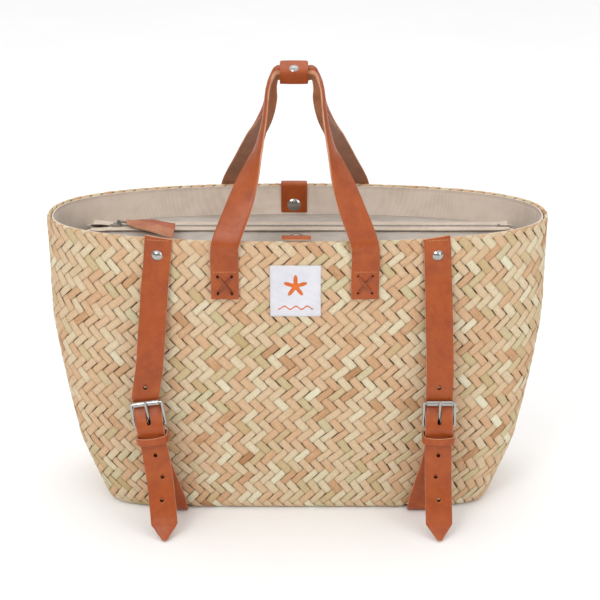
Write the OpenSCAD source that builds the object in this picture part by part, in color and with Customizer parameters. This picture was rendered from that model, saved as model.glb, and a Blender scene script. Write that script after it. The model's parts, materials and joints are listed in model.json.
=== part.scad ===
// Beach bag: a plaited seagrass basket with a canvas liner, a zipped inner panel,
// two leather carrying handles held together by a snap wrap, and two buckled straps.
// X runs to the right, Y to the back, Z up. The origin is the middle of the base on the floor.

/* [Basket] */
// Half the width of the basket at its widest
rim_half_w = 262; // [240:1:280]
// Half the width of the basket at the floor
base_half_w = 208; // [200:1:216]
// Depth of the front rim from the middle
rim_front = 95; // [88:1:100]
// Depth of the back rim from the middle
rim_back = 99; // [92:1:106]
// Depth of the base edge from the middle
base_edge = 74; // [66:1:80]
// Height of the rim
rim_z = 317; // [317:1:325]
// Thickness of the plaited wall
wall = 4; // [3.5:0.1:4]
// Thickness of the base
base_t = 5; // [5:0.5:7]

/* [Liner and zip] */
// Thickness of the liner cloth
liner_t = 1.2; // [0.8:0.1:1.2]
// Height of the liner's top edge
liner_top = 312; // [308:1:312]
// Height of the zip above the floor
zip_z = 297; // [294:1:298]
// Distance of the zip behind the middle of the bag
zip_y = 9; // [4:1:12]
// Left end of the zipped panel
panel_left = -222; // [-226:1:-214]
// Right end of the zipped panel
panel_right = 228; // [216:1:228]

/* [Leather] */
// Width of the handle and buckle straps
strap_w = 28; // [26:0.5:28]
// Thickness of the strap leather
strap_t = 2.6; // [2.2:0.1:2.6]
// Distance from the middle of a handle to the middle of its sewn ends
handle_spread = 70; // [66:1:74]
// Length of the handle wrap along the grips
wrap_len = 28.5; // [24:0.5:30]

/* [Buckles] */
// Diameter of the buckle wire
wire_d = 3.2; // [3:0.1:3.4]
// Distance between the roller and the lower bar
buckle_h = 25.4; // [25:0.1:26]

/* [Hidden] */
$fn = 48;

// Colours
leather_brown = [0.70, 0.36, 0.18];
seagrass = [0.84, 0.74, 0.55];
canvas = [0.80, 0.74, 0.66];
steel = [0.78, 0.78, 0.80];

// Gap that keeps soft pieces clear of what they lie on
lay_gap = 0.35;

// ---------- Basket outline ----------
shoulder_z = 216;
// The lowest part of the wall draws in further towards the floor
foot_z = 76;
foot_in = 13.5;
rim_square = 2.35;
base_square = 6;

function half_w(z) = rim_half_w
  - (rim_half_w - base_half_w - foot_in) * pow(max(0, 1 - z / shoulder_z), 1.25)
  - foot_in * pow(max(0, 1 - z / foot_z), 1.1);
function depth(z, rim) = rim - (rim - base_edge) * pow(max(0, 1 - z / rim_z), 1.3);
function squareness(z) = rim_square + (base_square - rim_square) * pow(max(0, 1 - z / rim_z), 2);
function signed_pow(v, p) = sign(v) * pow(abs(v), p);

// One closed outline of the basket at height z, drawn in by inset
outline_steps = 72;
function outline(z, inset, z_shape) = [
  for (i = [0 : outline_steps - 1])
    let (
      a = i * 360 / outline_steps,
      p = 2 / squareness(z_shape),
      side = sin(a) < 0 ? rim_front : rim_back
    )
    [
      (half_w(z_shape) - inset) * signed_pow(cos(a), p),
      (depth(z_shape, side) - inset) * signed_pow(sin(a), p),
      z
    ]
];

// Depth of the wall's face at x and z, drawn in by inset
function wall_depth(x, z, rim, inset = 0) =
  (depth(z, rim) - inset)
  * pow(1 - pow(min(1, abs(x) / (half_w(z) - inset)), squareness(z)), 1 / squareness(z));

// ---------- Lofting and paths ----------
// Rings are lists of points with the same count, wound the same way
function side_faces(rings, n) = [
  for (r = [0 : len(rings) - 2])
    for (i = [0 : n - 1])
      let (
        j = (i + 1) % n,
        a = r * n + i,
        b = r * n + j,
        c = (r + 1) * n + j,
        d = (r + 1) * n + i
      )
      each [[a, d, c], [a, c, b]]
];

module loft(rings) {
  n = len(rings[0]);
  last = (len(rings) - 1) * n;
  polyhedron(
    points = [for (r = rings) each r],
    faces = concat(
      [[for (i = [0 : n - 1]) i]],
      [[for (i = [n - 1 : -1 : 0]) last + i]],
      side_faces(rings, n)
    )
  );
}

// Smooth value at u in 0..1 between b and c, with neighbours a and d
function ease(a, b, c, d, u) =
  0.5 * (2 * b + (c - a) * u + (2 * a - 5 * b + 4 * c - d) * u * u + (3 * b - a - 3 * c + d) * u * u * u);

// A smooth list through the given rows, with steps points to each span
function smooth(rows, steps) = [
  for (k = [0 : len(rows) - 2])
    for (s = [0 : steps - 1])
      ease(rows[max(0, k - 1)], rows[k], rows[k + 1], rows[min(len(rows) - 1, k + 2)], s / steps),
  rows[len(rows) - 1]
];

function unit(v) = v / norm(v);
function place(row) = [row[0], row[1], row[2]];
function heading(path, i) = unit(place(path[min(len(path) - 1, i + 1)]) - place(path[max(0, i - 1)]));

// A flat band along a path. Each row is x, y, z, width, thickness, turn. The turn is the angle of the
// band's width from the side direction towards the face direction.
function band_ring(row, along, side, turn) =
  let (
    flat_side = unit(side - (side * along) * along),
    face = cross(along, flat_side),
    across = flat_side * cos(turn) + face * sin(turn),
    up = cross(along, across),
    w = across * row[3] / 2,
    t = up * row[4] / 2
  )
  [place(row) - w - t, place(row) + w - t, place(row) + w + t, place(row) - w + t];

module band(path, side = [1, 0, 0]) {
  loft([for (i = [0 : len(path) - 1]) band_ring(path[i], heading(path, i), side, path[i][5])]);
}

// ---------- Basket and liner ----------
wall_levels = [18, 50, 90, 130, 170, 210, 250, 290];

module vessel(foot_z, top_z, outer, inner, floor_z, corner) {
  outside = concat(
    [outline(foot_z, outer + corner, 0), outline(foot_z + corner * 0.25, outer + corner * 0.42, 0)],
    [outline(foot_z + corner * 0.8, outer + corner * 0.06, foot_z)],
    [for (z = wall_levels) outline(z, outer, z)],
    [outline(top_z - 1, outer, top_z), outline(top_z, outer + 0.6, top_z)]
  );
  inside = concat(
    [outline(top_z, inner - 0.5, top_z)],
    [for (i = [len(wall_levels) - 1 : -1 : 0]) outline(wall_levels[i], inner, wall_levels[i])],
    [outline(floor_z + corner * 0.8, inner + corner * 0.06, floor_z)],
    [outline(floor_z + corner * 0.25, inner + corner * 0.42, 0), outline(floor_z, inner + corner, 0)]
  );
  loft(concat(outside, inside));
}

groove_z = strap_t + 0.3;
groove_back = -28;

module strap_grooves() {
  for (s = [left_side, right_side])
    translate([s[0] - strap_w / 2 - 0.4, -rim_front, -1])
      cube([strap_w + 0.8, rim_front + groove_back, groove_z + 1]);
}

module basket_shell() {
  color(seagrass)
    difference() {
      vessel(0, rim_z, 0, wall, base_t, 9);
      strap_grooves();
      rivet_holes();
    }
}

liner_gap = 0.3;
liner_out = wall + liner_gap;
liner_in = liner_out + liner_t;
liner_floor = base_t + liner_gap;

module liner() {
  color(canvas)
    difference() {
      vessel(liner_floor, liner_top, liner_out, liner_in, liner_floor + liner_t, 9);
      rivet_holes();
    }
}

// ---------- Zipped panel ----------
panel_t = 1.2;
tape_t = 0.8;
tape_w = 11;
coil_r = 1.1;
coil_off = 1.55;
panel_drop = 14;
panel_lap = tape_w - 3;

// The strip slopes up from the liner wall to the zip tape, which it laps from below
module zip_panel(dir, rim) {
  edge_y = zip_y + dir * (coil_off + coil_r + tape_w - panel_lap);
  drop = tape_t / 2 + panel_t / 2;
  rings = [
    for (x = [panel_left : 15 : panel_right])
      let (
        wall_z = zip_z - panel_drop,
        far_y = dir * (wall_depth(x, wall_z, rim, liner_in) - lay_gap)
      )
      [
        [x, edge_y, zip_z - drop - panel_t / 2],
        [x, far_y, wall_z - drop - panel_t / 2],
        [x, far_y, wall_z - drop + panel_t / 2],
        [x, edge_y, zip_z - drop + panel_t / 2]
      ]
  ];
  color(canvas) loft(dir < 0 ? [for (r = rings) [r[3], r[2], r[1], r[0]]] : rings);
}

module zip_tape(dir) {
  near = coil_off + coil_r * 0.6;
  color(canvas)
    translate([panel_left + 4, zip_y + (dir > 0 ? near : -near - tape_w), zip_z - tape_t / 2])
      cube([panel_right - panel_left - 8, tape_w, tape_t]);
}

coil_left = -196;
coil_right = 212;

module zip_coil(dir) {
  color("dimgray")
    difference() {
      translate([coil_left, zip_y + dir * coil_off, zip_z])
        rotate([0, 90, 0])
          cylinder(r = coil_r, h = coil_right - coil_left);
      translate([coil_left - 1, zip_y + (dir > 0 ? coil_off + coil_r * 0.6 : -coil_off - 3), zip_z - tape_t / 2])
        cube([coil_right - coil_left + 2, 3 - coil_r * 0.6, tape_t]);
    }
}

module zip_stops() {
  stop = [2.4, 5.4, 1.2];
  color(steel)
    for (x = [coil_left - 3, coil_right + 0.4])
      translate([x, zip_y - stop[1] / 2, zip_z + tape_t / 2])
        cube(stop);
}

slider_x = -191;
slider_l = 9.5;
slider_w = 9;
slider_gap = coil_r + 0.35;
plate_t = 1.2;
bridge_x = slider_x + 1.5;
bridge_pin_r = 0.9;
bridge_pin_z = zip_z + slider_gap + plate_t + 2.2;

module zip_slider() {
  plate = [slider_l, slider_w, plate_t];
  lip_h = slider_gap - tape_t / 2 - 0.35;
  color(steel) {
    translate([slider_x - slider_l / 2, zip_y - slider_w / 2, zip_z + slider_gap])
      cube(plate);
    translate([slider_x - slider_l / 2, zip_y - slider_w / 2, zip_z - slider_gap - plate_t])
      cube(plate);
    translate([slider_x - slider_l / 2, zip_y - 0.25, zip_z - slider_gap])
      cube([3, 0.5, 2 * slider_gap]);
    for (s = [-1, 1])
      translate([slider_x - slider_l / 2, zip_y + s * (slider_w / 2 - 0.4) - 0.4, 0]) {
        translate([0, 0, zip_z + slider_gap - lip_h])
          cube([slider_l, 0.8, lip_h]);
        translate([0, 0, zip_z - slider_gap])
          cube([slider_l, 0.8, lip_h]);
      }
    for (s = [-1, 1])
      translate([bridge_x - 1.6, zip_y + s * 2.6 - 0.5, zip_z + slider_gap + plate_t])
        cube([3.2, 1, 3.2]);
    translate([bridge_x, zip_y - 3.1, bridge_pin_z])
      rotate([-90, 0, 0])
        cylinder(r = bridge_pin_r, h = 6.2);
  }
}

// The link lies along the zip, and the leather swings forward from the link's ring
pull_angle = -32;
pull_len = 64;
link_len = 9;
link_t = 1.4;
ring_hole_r = 1.4;

module link_frame() {
  translate([bridge_x, zip_y, bridge_pin_z])
    children();
}

module zip_pull_link() {
  color(steel)
    link_frame()
      difference() {
        union() {
          rotate([90, 0, 0])
            cylinder(r = 1.9, h = 3, center = true);
          translate([0, -1.5, -link_t / 2])
            cube([link_len, 3, link_t]);
          translate([link_len, 0, -link_t / 2])
            cylinder(r = 2.7, h = link_t);
        }
        rotate([90, 0, 0])
          cylinder(r = bridge_pin_r + 0.08, h = 12, center = true);
        translate([link_len, 0, -link_t])
          cylinder(r = ring_hole_r, h = 2 * link_t);
      }
}

// Two plies of leather, folded through the link's ring and cut at a slant
module zip_pull_leather() {
  fold_back = -1.9;
  pull_t = 3.4;
  tip_w = 20;
  slant = 14;
  mouth = 3.2;
  color(leather_brown)
    link_frame()
      translate([link_len, 0, 0])
        rotate([0, 0, pull_angle]) {
          difference() {
            translate([0, 0, -pull_t / 2])
              linear_extrude(height = pull_t)
                polygon([
                  [fold_back, -1.8], [mouth, -3.4], [mouth + slant, -6.5], [pull_len, -tip_w / 2],
                  [pull_len - slant, tip_w / 2], [mouth + slant, 6.5], [mouth, 3.4], [fold_back, 1.8]
                ]);
            translate([fold_back - 1, -10, -link_t / 2 - 0.2])
              cube([mouth - fold_back + 1, 20, link_t + 0.4]);
          }
          cylinder(r = ring_hole_r - 0.08, h = link_t + 0.8, center = true);
        }
}

// ---------- Handles ----------
handle_mid = -2.5;
seam_z = 286;
end_bottom = 256;
strap_off = lay_gap + strap_t / 2;
hinge_gap = 0.4;

// The wrap's own tilted frame
wrap_mid = [-3.5, -2, 463.5];
wrap_tilt = 27;
grip_off = 3.4;
grip_w = 6.2;
grip_h = 10.2;

function grip_y(dir) = wrap_mid[1] + dir * grip_off * cos(wrap_tilt);
function grip_z(dir) = wrap_mid[2] + dir * grip_off * sin(wrap_tilt);
// Depth of a sewn end's middle plane, clear of the wall over the end's whole width
function end_depth(rim, z) = wall_depth(handle_spread + handle_mid - strap_w / 2, z, rim) + strap_off;
// Lean of a handle from upright, between the rim and the grip
function handle_lean(dir, rim) = atan2(end_depth(rim, rim_z) - dir * grip_y(dir), grip_z(dir) - rim_z);

// Left half of a handle from the seam to the middle of the grip, for the side dir (-1 front, 1 back).
// Each row is x, y, z, width, thickness, turn
function handle_half(dir, rim) =
  let (
    c = end_depth(rim, seam_z),
    rim_c = end_depth(rim, rim_z),
    gy = grip_y(dir),
    gz = grip_z(dir),
    top_c = dir * gy,
    at = function(f) dir * (rim_c + (top_c - rim_c) * f),
    lean = handle_lean(dir, rim),
    grip_turn = dir < 0 ? 180 - lean - wrap_tilt : 90 + wrap_tilt - lean,
    fold_w = dir < 0 ? grip_h : grip_w,
    fold_t = dir < 0 ? grip_w : grip_h
  )
  [
    [-handle_spread, dir * c, seam_z, strap_w, strap_t, 0],
    [-handle_spread, dir * (c + 0.5), 303, strap_w, strap_t, 0],
    [-handle_spread + 2.5, dir * (rim_c + 0.6), rim_z + 2, strap_w, strap_t, 4],
    [-53, at(0.24), 354, strap_w, strap_t, 22],
    [-39.5, at(0.51), 392, strap_w, strap_t, 58],
    [-28.5, at(0.72), 424, strap_w, strap_t, 80],
    [-25, at(0.86), 443, 21, 3, 84],
    [-23.6, at(0.925), 452, 12.5, 4.2, (84 + grip_turn) / 2],
    [-20.4, at(0.98), gz - 2.2, 9.5, 4.8, (84 + 3 * grip_turn) / 4],
    [-17.2, gy, gz, fold_w - 0.4, fold_t - 0.4, grip_turn],
    [-12, gy, gz, fold_w, fold_t, grip_turn],
    [-6, gy, gz, fold_w, fold_t, grip_turn],
    [0, gy, gz, fold_w, fold_t, grip_turn]
  ];

handle_steps = 3;

// One half of a handle as rings, mirrored to the other side when flip is -1
function handle_rings(dir, rim) =
  let (
    path = smooth(handle_half(dir, rim), handle_steps),
    lean = -dir * handle_lean(dir, rim),
    plane_normal = [0, cos(lean), -sin(lean)]
  )
  [
    for (i = [0 : len(path) - 1])
      let (along = i == len(path) - 1 ? [1, 0, 0] : heading(path, i))
      band_ring(path[i], along, cross(plane_normal, along), dir * path[i][5])
  ];

function mirrored(rings) = [
  for (i = [len(rings) - 2 : -1 : 0]) [for (p = rings[i]) [-p[0], p[1], p[2]]]
];

module handle_strap(dir, rim) {
  half = handle_rings(dir, rim);
  color(leather_brown)
    translate([handle_mid, 0, 0])
      loft(concat(half, mirrored(half)));
}

lace_x = 7;
lace_z = [263, 277];
lace_hole_r = 1.3;

module lace_holes(dir, rim) {
  for (s = [-1, 1])
    for (x = [-lace_x, lace_x])
      for (z = lace_z)
        translate([handle_mid + s * handle_spread + x, dir * end_depth(rim, z), z])
          rotate([90, 0, 0])
            cylinder(r = lace_hole_r, h = 6, center = true);
}

module handle_ends(dir, rim) {
  color(leather_brown)
    difference() {
      for (s = [-1, 1])
        translate([handle_mid, 0, 0])
          band([
            [s * handle_spread, dir * end_depth(rim, end_bottom), end_bottom, strap_w, strap_t, 0],
            [s * handle_spread, dir * end_depth(rim, seam_z), seam_z - 0.4, strap_w, strap_t, 0]
          ]);
      lace_holes(dir, rim);
    }
}

// Crossed leather thongs over each sewn end, with a leg down through each hole
module lacing(dir, rim) {
  thong_w = 2.2;
  thong_t = 1.2;
  z_mid = (lace_z[0] + lace_z[1]) / 2;
  span = norm([2 * lace_x, lace_z[1] - lace_z[0]]) + thong_w;
  lean = atan2(lace_z[1] - lace_z[0], 2 * lace_x);
  slope = atan2(end_depth(rim, lace_z[1]) - end_depth(rim, lace_z[0]), lace_z[1] - lace_z[0]);
  face = end_depth(rim, z_mid) + strap_t / 2 + thong_t / 2 + 0.05;
  color([0.55, 0.27, 0.13])
    for (s = [-1, 1])
      translate([handle_mid + s * handle_spread, dir * face, z_mid])
        rotate([-dir * slope, 0, 0]) {
          for (a = [-lean, lean])
            rotate([0, a, 0])
              cube([span, thong_t, thong_w], center = true);
          for (x = [-lace_x, lace_x])
            for (z = [-1, 1])
              translate([x, 0, z * (lace_z[1] - lace_z[0]) / 2])
                rotate([dir > 0 ? 90 : -90, 0, 0])
                  cylinder(r = lace_hole_r - 0.2, h = thong_t / 2 + strap_t);
        }
}

// ---------- Handle wrap ----------
ply_t = 2;
grip_gap = 0.3;
wrap_front = -grip_off - grip_w / 2 - grip_gap;
wrap_low = -grip_h / 2 - grip_gap;
wrap_high = grip_h / 2 + grip_gap;
flap_low = wrap_high + ply_t + 0.4;
flap_depth = 16.6;
snap_y = -3.4;
magnet_r = 2.8;
magnet_t = 0.8;
cap_r = 5.3;

module wrap_frame() {
  translate(wrap_mid)
    rotate([wrap_tilt, 0, 0])
      children();
}

module wrap_bar(y0, y1, z0, z1) {
  translate([-wrap_len / 2, y0, z0])
    cube([wrap_len, y1 - y0, z1 - z0]);
}

module wrap_body() {
  color(leather_brown)
    wrap_frame()
      difference() {
        union() {
          wrap_bar(wrap_front - ply_t, wrap_front, wrap_low - ply_t, flap_low - 0.05);
          wrap_bar(wrap_front, -0.1, wrap_low - ply_t, wrap_low);
          wrap_bar(wrap_front, -0.1, wrap_high, wrap_high + ply_t);
        }
        translate([0, snap_y, wrap_high + ply_t - magnet_t])
          cylinder(r = magnet_r, h = 2);
      }
}

module wrap_snap_base() {
  color(steel)
    wrap_frame()
      translate([0, snap_y, wrap_high + ply_t - magnet_t])
        cylinder(r = magnet_r, h = magnet_t);
}

module wrap_flap() {
  color(leather_brown)
    wrap_frame()
      difference() {
        wrap_bar(wrap_front - ply_t, wrap_front - ply_t + flap_depth, flap_low, flap_low + ply_t);
        translate([0, snap_y, flap_low - 1])
          cylinder(r = magnet_r, h = 1 + magnet_t);
        translate([0, snap_y, flap_low])
          cylinder(r = 1.2, h = ply_t + 1);
      }
}

module dome(r, h) {
  sphere_r = (r * r + h * h) / (2 * h);
  intersection() {
    translate([0, 0, h - sphere_r])
      sphere(r = sphere_r);
    cylinder(r = r, h = h + 1);
  }
}

module wrap_snap_cap() {
  color(steel)
    wrap_frame()
      translate([0, snap_y, 0]) {
        translate([0, 0, flap_low + ply_t])
          dome(cap_r, 2);
        translate([0, 0, flap_low + magnet_t / 2])
          cylinder(r = 1.2, h = ply_t - magnet_t / 2 + 0.5);
        translate([0, 0, flap_low])
          cylinder(r = magnet_r, h = magnet_t);
      }
}

// ---------- Buckled straps ----------
// Each side lists: x of the groove, x at the rivet, x of the buckle's lower bar, lean of the buckle,
// and the x places of the hanging tail from its top to its tip
left_side = [-132, -139.5, -152, -8, [-147.6, -143.8, -141, -139.4, -138.8]];
right_side = [132, 139.5, 146, 0, [146.3, 147.2, 148, 148.2, 148.2]];

// Sideways place of the strap's middle near the buckle, at height z
function lean_x(s, z) = s[2] + tan(s[3]) * (z - bar_z);

bar_z = 118.6;
buckle_y = -104;
roller_z = bar_z + buckle_h;
roller_r = 3.2;
rivet_z = 300;
fold_gap = 0.3;
fold_off = wire_d / 2 + fold_gap + strap_t / 2;
tail_off = fold_off + strap_t + 2 * fold_gap;
behind_roller = roller_r + 0.4 + strap_t / 2;
tip_l = 17;

function strap_rest_y(x, z) = -(wall_depth(x, z, rim_front) + strap_off);
function wall_turn(x) =
  -atan2(wall_depth(x + 5, rivet_z, rim_front) - wall_depth(x - 5, rivet_z, rim_front), 10);

// The long strap from the rim, behind the roller, over the lower bar and down to the floor
function strap_path(s) =
  let (
    rivet_x = s[1],
    bx = s[2],
    tail = s[4],
    turn = -wall_turn(rivet_x),
    sx = sign(bx)
  )
  [
    [rivet_x - sx * 2, strap_rest_y(rivet_x, rim_z) - 0.2, rim_z + 4, strap_w, strap_t, turn],
    [rivet_x, strap_rest_y(rivet_x, rivet_z) - 0.1, rivet_z, strap_w, strap_t, turn],
    [rivet_x + (bx - rivet_x) * 0.3, -88.6, 266, strap_w, strap_t, turn * 0.8],
    [rivet_x + (bx - rivet_x) * 0.6, -93, 226, strap_w, strap_t, turn * 0.4],
    [rivet_x + (bx - rivet_x) * 0.95, -97.4, 180, strap_w, strap_t, 0],
    [lean_x(s, roller_z + 6), buckle_y + behind_roller, roller_z + 6, strap_w, strap_t, 0],
    [lean_x(s, roller_z - 3.5), buckle_y + behind_roller - 0.1, roller_z - 3.5, strap_w, strap_t, 0],
    [lean_x(s, roller_z - 13.4), buckle_y - 1.5, roller_z - 13.4, strap_w, strap_t, 0],
    [bx, buckle_y - tail_off, bar_z, strap_w, strap_t, 0],
    [lean_x(s, keeper_z), buckle_y - tail_off + 1.4, keeper_z, strap_w, strap_t, 0],
    [tail[0], buckle_y - tail_off + 1.6, 88, strap_w, strap_t, 0],
    [tail[1], -112, 58, strap_w, strap_t, 0],
    [tail[2], -120.5, 30, strap_w, strap_t, 0],
    [tail[3], -129.5, 12.5, strap_w, strap_t, 0],
    [tail[4], -140, 1.7, 5, strap_t, 0]
  ];

strap_hole_r = 2;
punch_l = 100;

module at_buckle(s) {
  translate([s[2], buckle_y, bar_z])
    rotate([0, s[3], 0])
      children();
}

module punch(r) {
  translate([0, punch_l / 2, 0])
    rotate([90, 0, 0])
      cylinder(r = r, h = punch_l);
}

// The long hole that the tongue slants through, between two heights above the lower bar
module tongue_hole(low, high, r) {
  translate([-r, -punch_l / 2, low + r])
    cube([2 * r, punch_l, high - low - 2 * r]);
  for (z = [low + r, high - r])
    translate([0, 0, z])
      punch(r);
}

// Round holes along the strap, and the one that the tongue is in
module strap_holes(s) {
  tail = s[4];
  rows = [
    [lean_x(s, 157) + 0.1 * (s[1] - s[2]), 160],
    [tail[0], 87],
    [tail[1] - 0.02 * tail[1], 63],
    [(tail[1] + 2 * tail[2]) / 3, 39]
  ];
  for (row = rows)
    translate([row[0], buckle_y, row[1]])
      punch(strap_hole_r);
  at_buckle(s)
    tongue_hole(3.6, 16.4, 2.2);
}

rivet_post_r = 1.9;
rivet_cap_r = 5.6;
// Distance from the strap's back to the liner's inner face
rivet_in = lay_gap + wall + liner_gap + liner_t + 0.1;

module at_rivet(s) {
  x = s[1];
  translate([x, strap_rest_y(x, rivet_z) - 0.1, rivet_z])
    rotate([0, 0, wall_turn(x)])
      rotate([90, 0, 0])
        children();
}

module rivet_holes() {
  for (s = [left_side, right_side])
    at_rivet(s)
      cylinder(r = rivet_post_r + 0.05, h = 40, center = true);
}

module strap(s) {
  color(leather_brown)
    difference() {
      band(smooth(strap_path(s), 2));
      strap_holes(s);
      rivet_holes();
    }
}

// Domed cap outside, post through strap, wall and liner, and a washer inside
module strap_rivets() {
  washer_t = 0.9;
  back = -strap_t / 2 - rivet_in - 1.6;
  color(steel)
    for (s = [left_side, right_side])
      at_rivet(s) {
        translate([0, 0, strap_t / 2 + 0.45])
          dome(rivet_cap_r, 2.6);
        translate([0, 0, back])
          cylinder(r = rivet_post_r, h = strap_t / 2 + 1 - back);
        translate([0, 0, back - washer_t])
          cylinder(r = 4.6, h = washer_t + 0.4);
      }
}

// The lower strap from its groove under the base, up behind the bar, over it and down in front
function lower_path(s) =
  let (
    gx = s[0],
    bx = s[2],
    kx = lean_x(s, keeper_z),
    w = strap_w - 1.4,
    lean = s[3]
  )
  [
    [gx, groove_back - 1, strap_t / 2 + 0.05, w, strap_t, lean],
    [gx, -55, strap_t / 2 + 0.05, w, strap_t, lean],
    [gx, -72, strap_t / 2 + 0.05, w, strap_t, lean],
    [gx, -79.5, 6, w, strap_t, lean / 2],
    [gx, -84, 20, w, strap_t, 0],
    [gx + (kx - gx) * 0.2, -93, 48, w, strap_t, 0],
    [gx + (kx - gx) * 0.88, -100, 80, w, strap_t, 0],
    [kx, buckle_y + 2.2, 104, w, strap_t, 0],
    [lean_x(s, bar_z - 3.5), buckle_y + fold_off - 0.1, bar_z - 3.5, w, strap_t, 0],
    [bx, buckle_y + fold_off, bar_z, w, strap_t, 0],
    [lean_x(s, bar_z + fold_off * 0.72), buckle_y + fold_off * 0.7, bar_z + fold_off * 0.72, w, strap_t, 0],
    [lean_x(s, bar_z + fold_off), buckle_y, bar_z + fold_off, w, strap_t, 0],
    [lean_x(s, bar_z + fold_off * 0.72), buckle_y - fold_off * 0.7, bar_z + fold_off * 0.72, w, strap_t, 0],
    [bx, buckle_y - fold_off, bar_z, w, strap_t, 0],
    [lean_x(s, bar_z - 4), buckle_y - fold_off + 0.5, bar_z - 4, w, strap_t, 0],
    [kx, buckle_y - 0.75, keeper_z + 0.5, w, strap_t, 0],
    [lean_x(s, 94), buckle_y - 0.7, 94, w, strap_t, 0]
  ];

module lower_strap(s) {
  tongue_slot_w = 5.2;
  color(leather_brown)
    difference() {
      band(smooth(lower_path(s), 2), [cos(s[3]), 0, -sin(s[3])]);
      at_buckle(s)
        translate([-tongue_slot_w / 2, -7, -5.3])
          cube([tongue_slot_w, 14, 12.3]);
      base_rivet_hole(s);
    }
}

base_rivet_y = -40;

module base_rivet_hole(s) {
  translate([s[0], base_rivet_y, -1])
    cylinder(r = 1.6, h = 5);
}

// Small flat rivets that hold each lower strap into its groove under the base
module lower_strap_rivets() {
  color(steel)
    for (s = [left_side, right_side])
      translate([s[0], base_rivet_y, 0.3])
        cylinder(r = 1.55, h = strap_t - 0.1);
}

module buckle_frame(s) {
  half = strap_w / 2 + 0.3 + wire_d / 2;
  color(steel)
    at_buckle(s) {
      for (z = [0, buckle_h])
        translate([-half, 0, z])
          rotate([0, 90, 0])
            cylinder(d = wire_d, h = 2 * half);
      for (x = [-half, half]) {
        translate([x, 0, 0])
          cylinder(d = wire_d, h = buckle_h);
        for (z = [0, buckle_h])
          translate([x, 0, z])
            sphere(d = wire_d);
      }
    }
}

module buckle_roller(s) {
  roller_l = strap_w - 1.6;
  color(steel)
    at_buckle(s)
      translate([-roller_l / 2, 0, buckle_h])
        rotate([0, 90, 0])
          difference() {
            cylinder(r = roller_r, h = roller_l);
            translate([0, 0, -1])
              cylinder(r = wire_d / 2 + 0.06, h = roller_l + 2);
          }
}

module buckle_tongue(s) {
  ring_r = 3.1;
  tongue_w = 3;
  tongue_l = buckle_h + 3.6;
  slope = asin((roller_r + 0.3 + tongue_w / 2) / buckle_h);
  color(steel)
    at_buckle(s) {
      difference() {
        union() {
          rotate([0, 90, 0])
            cylinder(r = ring_r, h = 3.6, center = true);
          rotate([slope, 0, 0]) {
            cylinder(d = tongue_w, h = tongue_l);
            translate([0, 0, tongue_l])
              sphere(d = tongue_w);
          }
        }
        rotate([0, 90, 0])
          cylinder(r = wire_d / 2 + 0.06, h = 10, center = true);
      }
    }
}

keeper_z = 105.2;
keeper_h = 8.4;
keeper_t = 2;

module keeper(s) {
  inner_x = strap_w + 1.4;
  inner_front = buckle_y - tail_off + 1.4 - strap_t / 2 - 1.2;
  inner_back = buckle_y + 2.5 + strap_t / 2 + 1.4;
  color(leather_brown)
    translate([lean_x(s, keeper_z), 0, keeper_z])
      rotate([0, s[3], 0])
        difference() {
          translate([-inner_x / 2 - keeper_t, inner_front - keeper_t, -keeper_h / 2])
            cube([inner_x + 2 * keeper_t, inner_back - inner_front + 2 * keeper_t, keeper_h]);
          translate([-inner_x / 2, inner_front, -keeper_h])
            cube([inner_x, inner_back - inner_front, 2 * keeper_h]);
        }
}

// ---------- Snap tabs ----------
tab_t = 2;
tab_w = 29;
tab_back_x = -3.8;
tab_front_x = -1.2;
tab_snap_r = 7.6;
tab_seat_z = rim_z + 0.3;
back_tab_low = 285;
back_tab_y = wall_depth(tab_w / 2 - tab_back_x, back_tab_low, rim_back, liner_in) - 0.5 - tab_t / 2;
tab_snap_z = 294;
front_hinge_y = -rim_front + liner_in + 1.4;
front_fold_h = 4;

module tab_back_end() {
  color(leather_brown)
    translate([tab_back_x - tab_w / 2, back_tab_y + tab_t / 2 + 0.4, tab_seat_z])
      cube([tab_w, rim_back - back_tab_y - tab_t / 2 - 0.8, tab_t]);
}

module tab_back() {
  color(leather_brown)
    difference() {
      translate([tab_back_x - tab_w / 2, back_tab_y - tab_t / 2, back_tab_low])
        cube([tab_w, tab_t, tab_seat_z + tab_t - back_tab_low]);
      translate([tab_back_x, back_tab_y, tab_snap_z])
        rotate([90, 0, 0])
          cylinder(r = 2, h = 10, center = true);
    }
}

module tab_back_snap() {
  color(steel)
    translate([tab_back_x, back_tab_y, tab_snap_z])
      rotate([90, 0, 0]) {
        translate([0, 0, tab_t / 2])
          dome(tab_snap_r, 2.4);
        translate([0, 0, -tab_t / 2])
          cylinder(r = 2, h = tab_t + 1);
      }
}

// The front tab leans inward from the rim
front_tab_drop = 20;
front_tab_l = 34;
front_snap_at = 20;

module front_tab_frame() {
  translate([tab_front_x, front_hinge_y, tab_seat_z + front_fold_h - tab_t / 2])
    rotate([-front_tab_drop, 0, 0])
      children();
}

module tab_front_end() {
  color(leather_brown)
    translate([tab_front_x - tab_w / 2, front_hinge_y - 5.4, tab_seat_z])
      cube([tab_w, 4, front_fold_h]);
}

module tab_front() {
  color(leather_brown)
    front_tab_frame()
      difference() {
        translate([-tab_w / 2, 0.6, -tab_t / 2])
          cube([tab_w, front_tab_l, tab_t]);
        translate([0, front_snap_at, -2])
          cylinder(r = 2, h = 5);
      }
}

module tab_front_snap() {
  color(steel)
    front_tab_frame()
      translate([0, front_snap_at, 0]) {
        translate([0, 0, tab_t / 2])
          dome(tab_snap_r, 2.2);
        translate([0, 0, -tab_t / 2])
          cylinder(r = 2, h = tab_t + 1);
      }
}

// ---------- Label ----------
label_w = 51;
label_low = 236;
label_high = 292;
label_t = 0.8;

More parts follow.
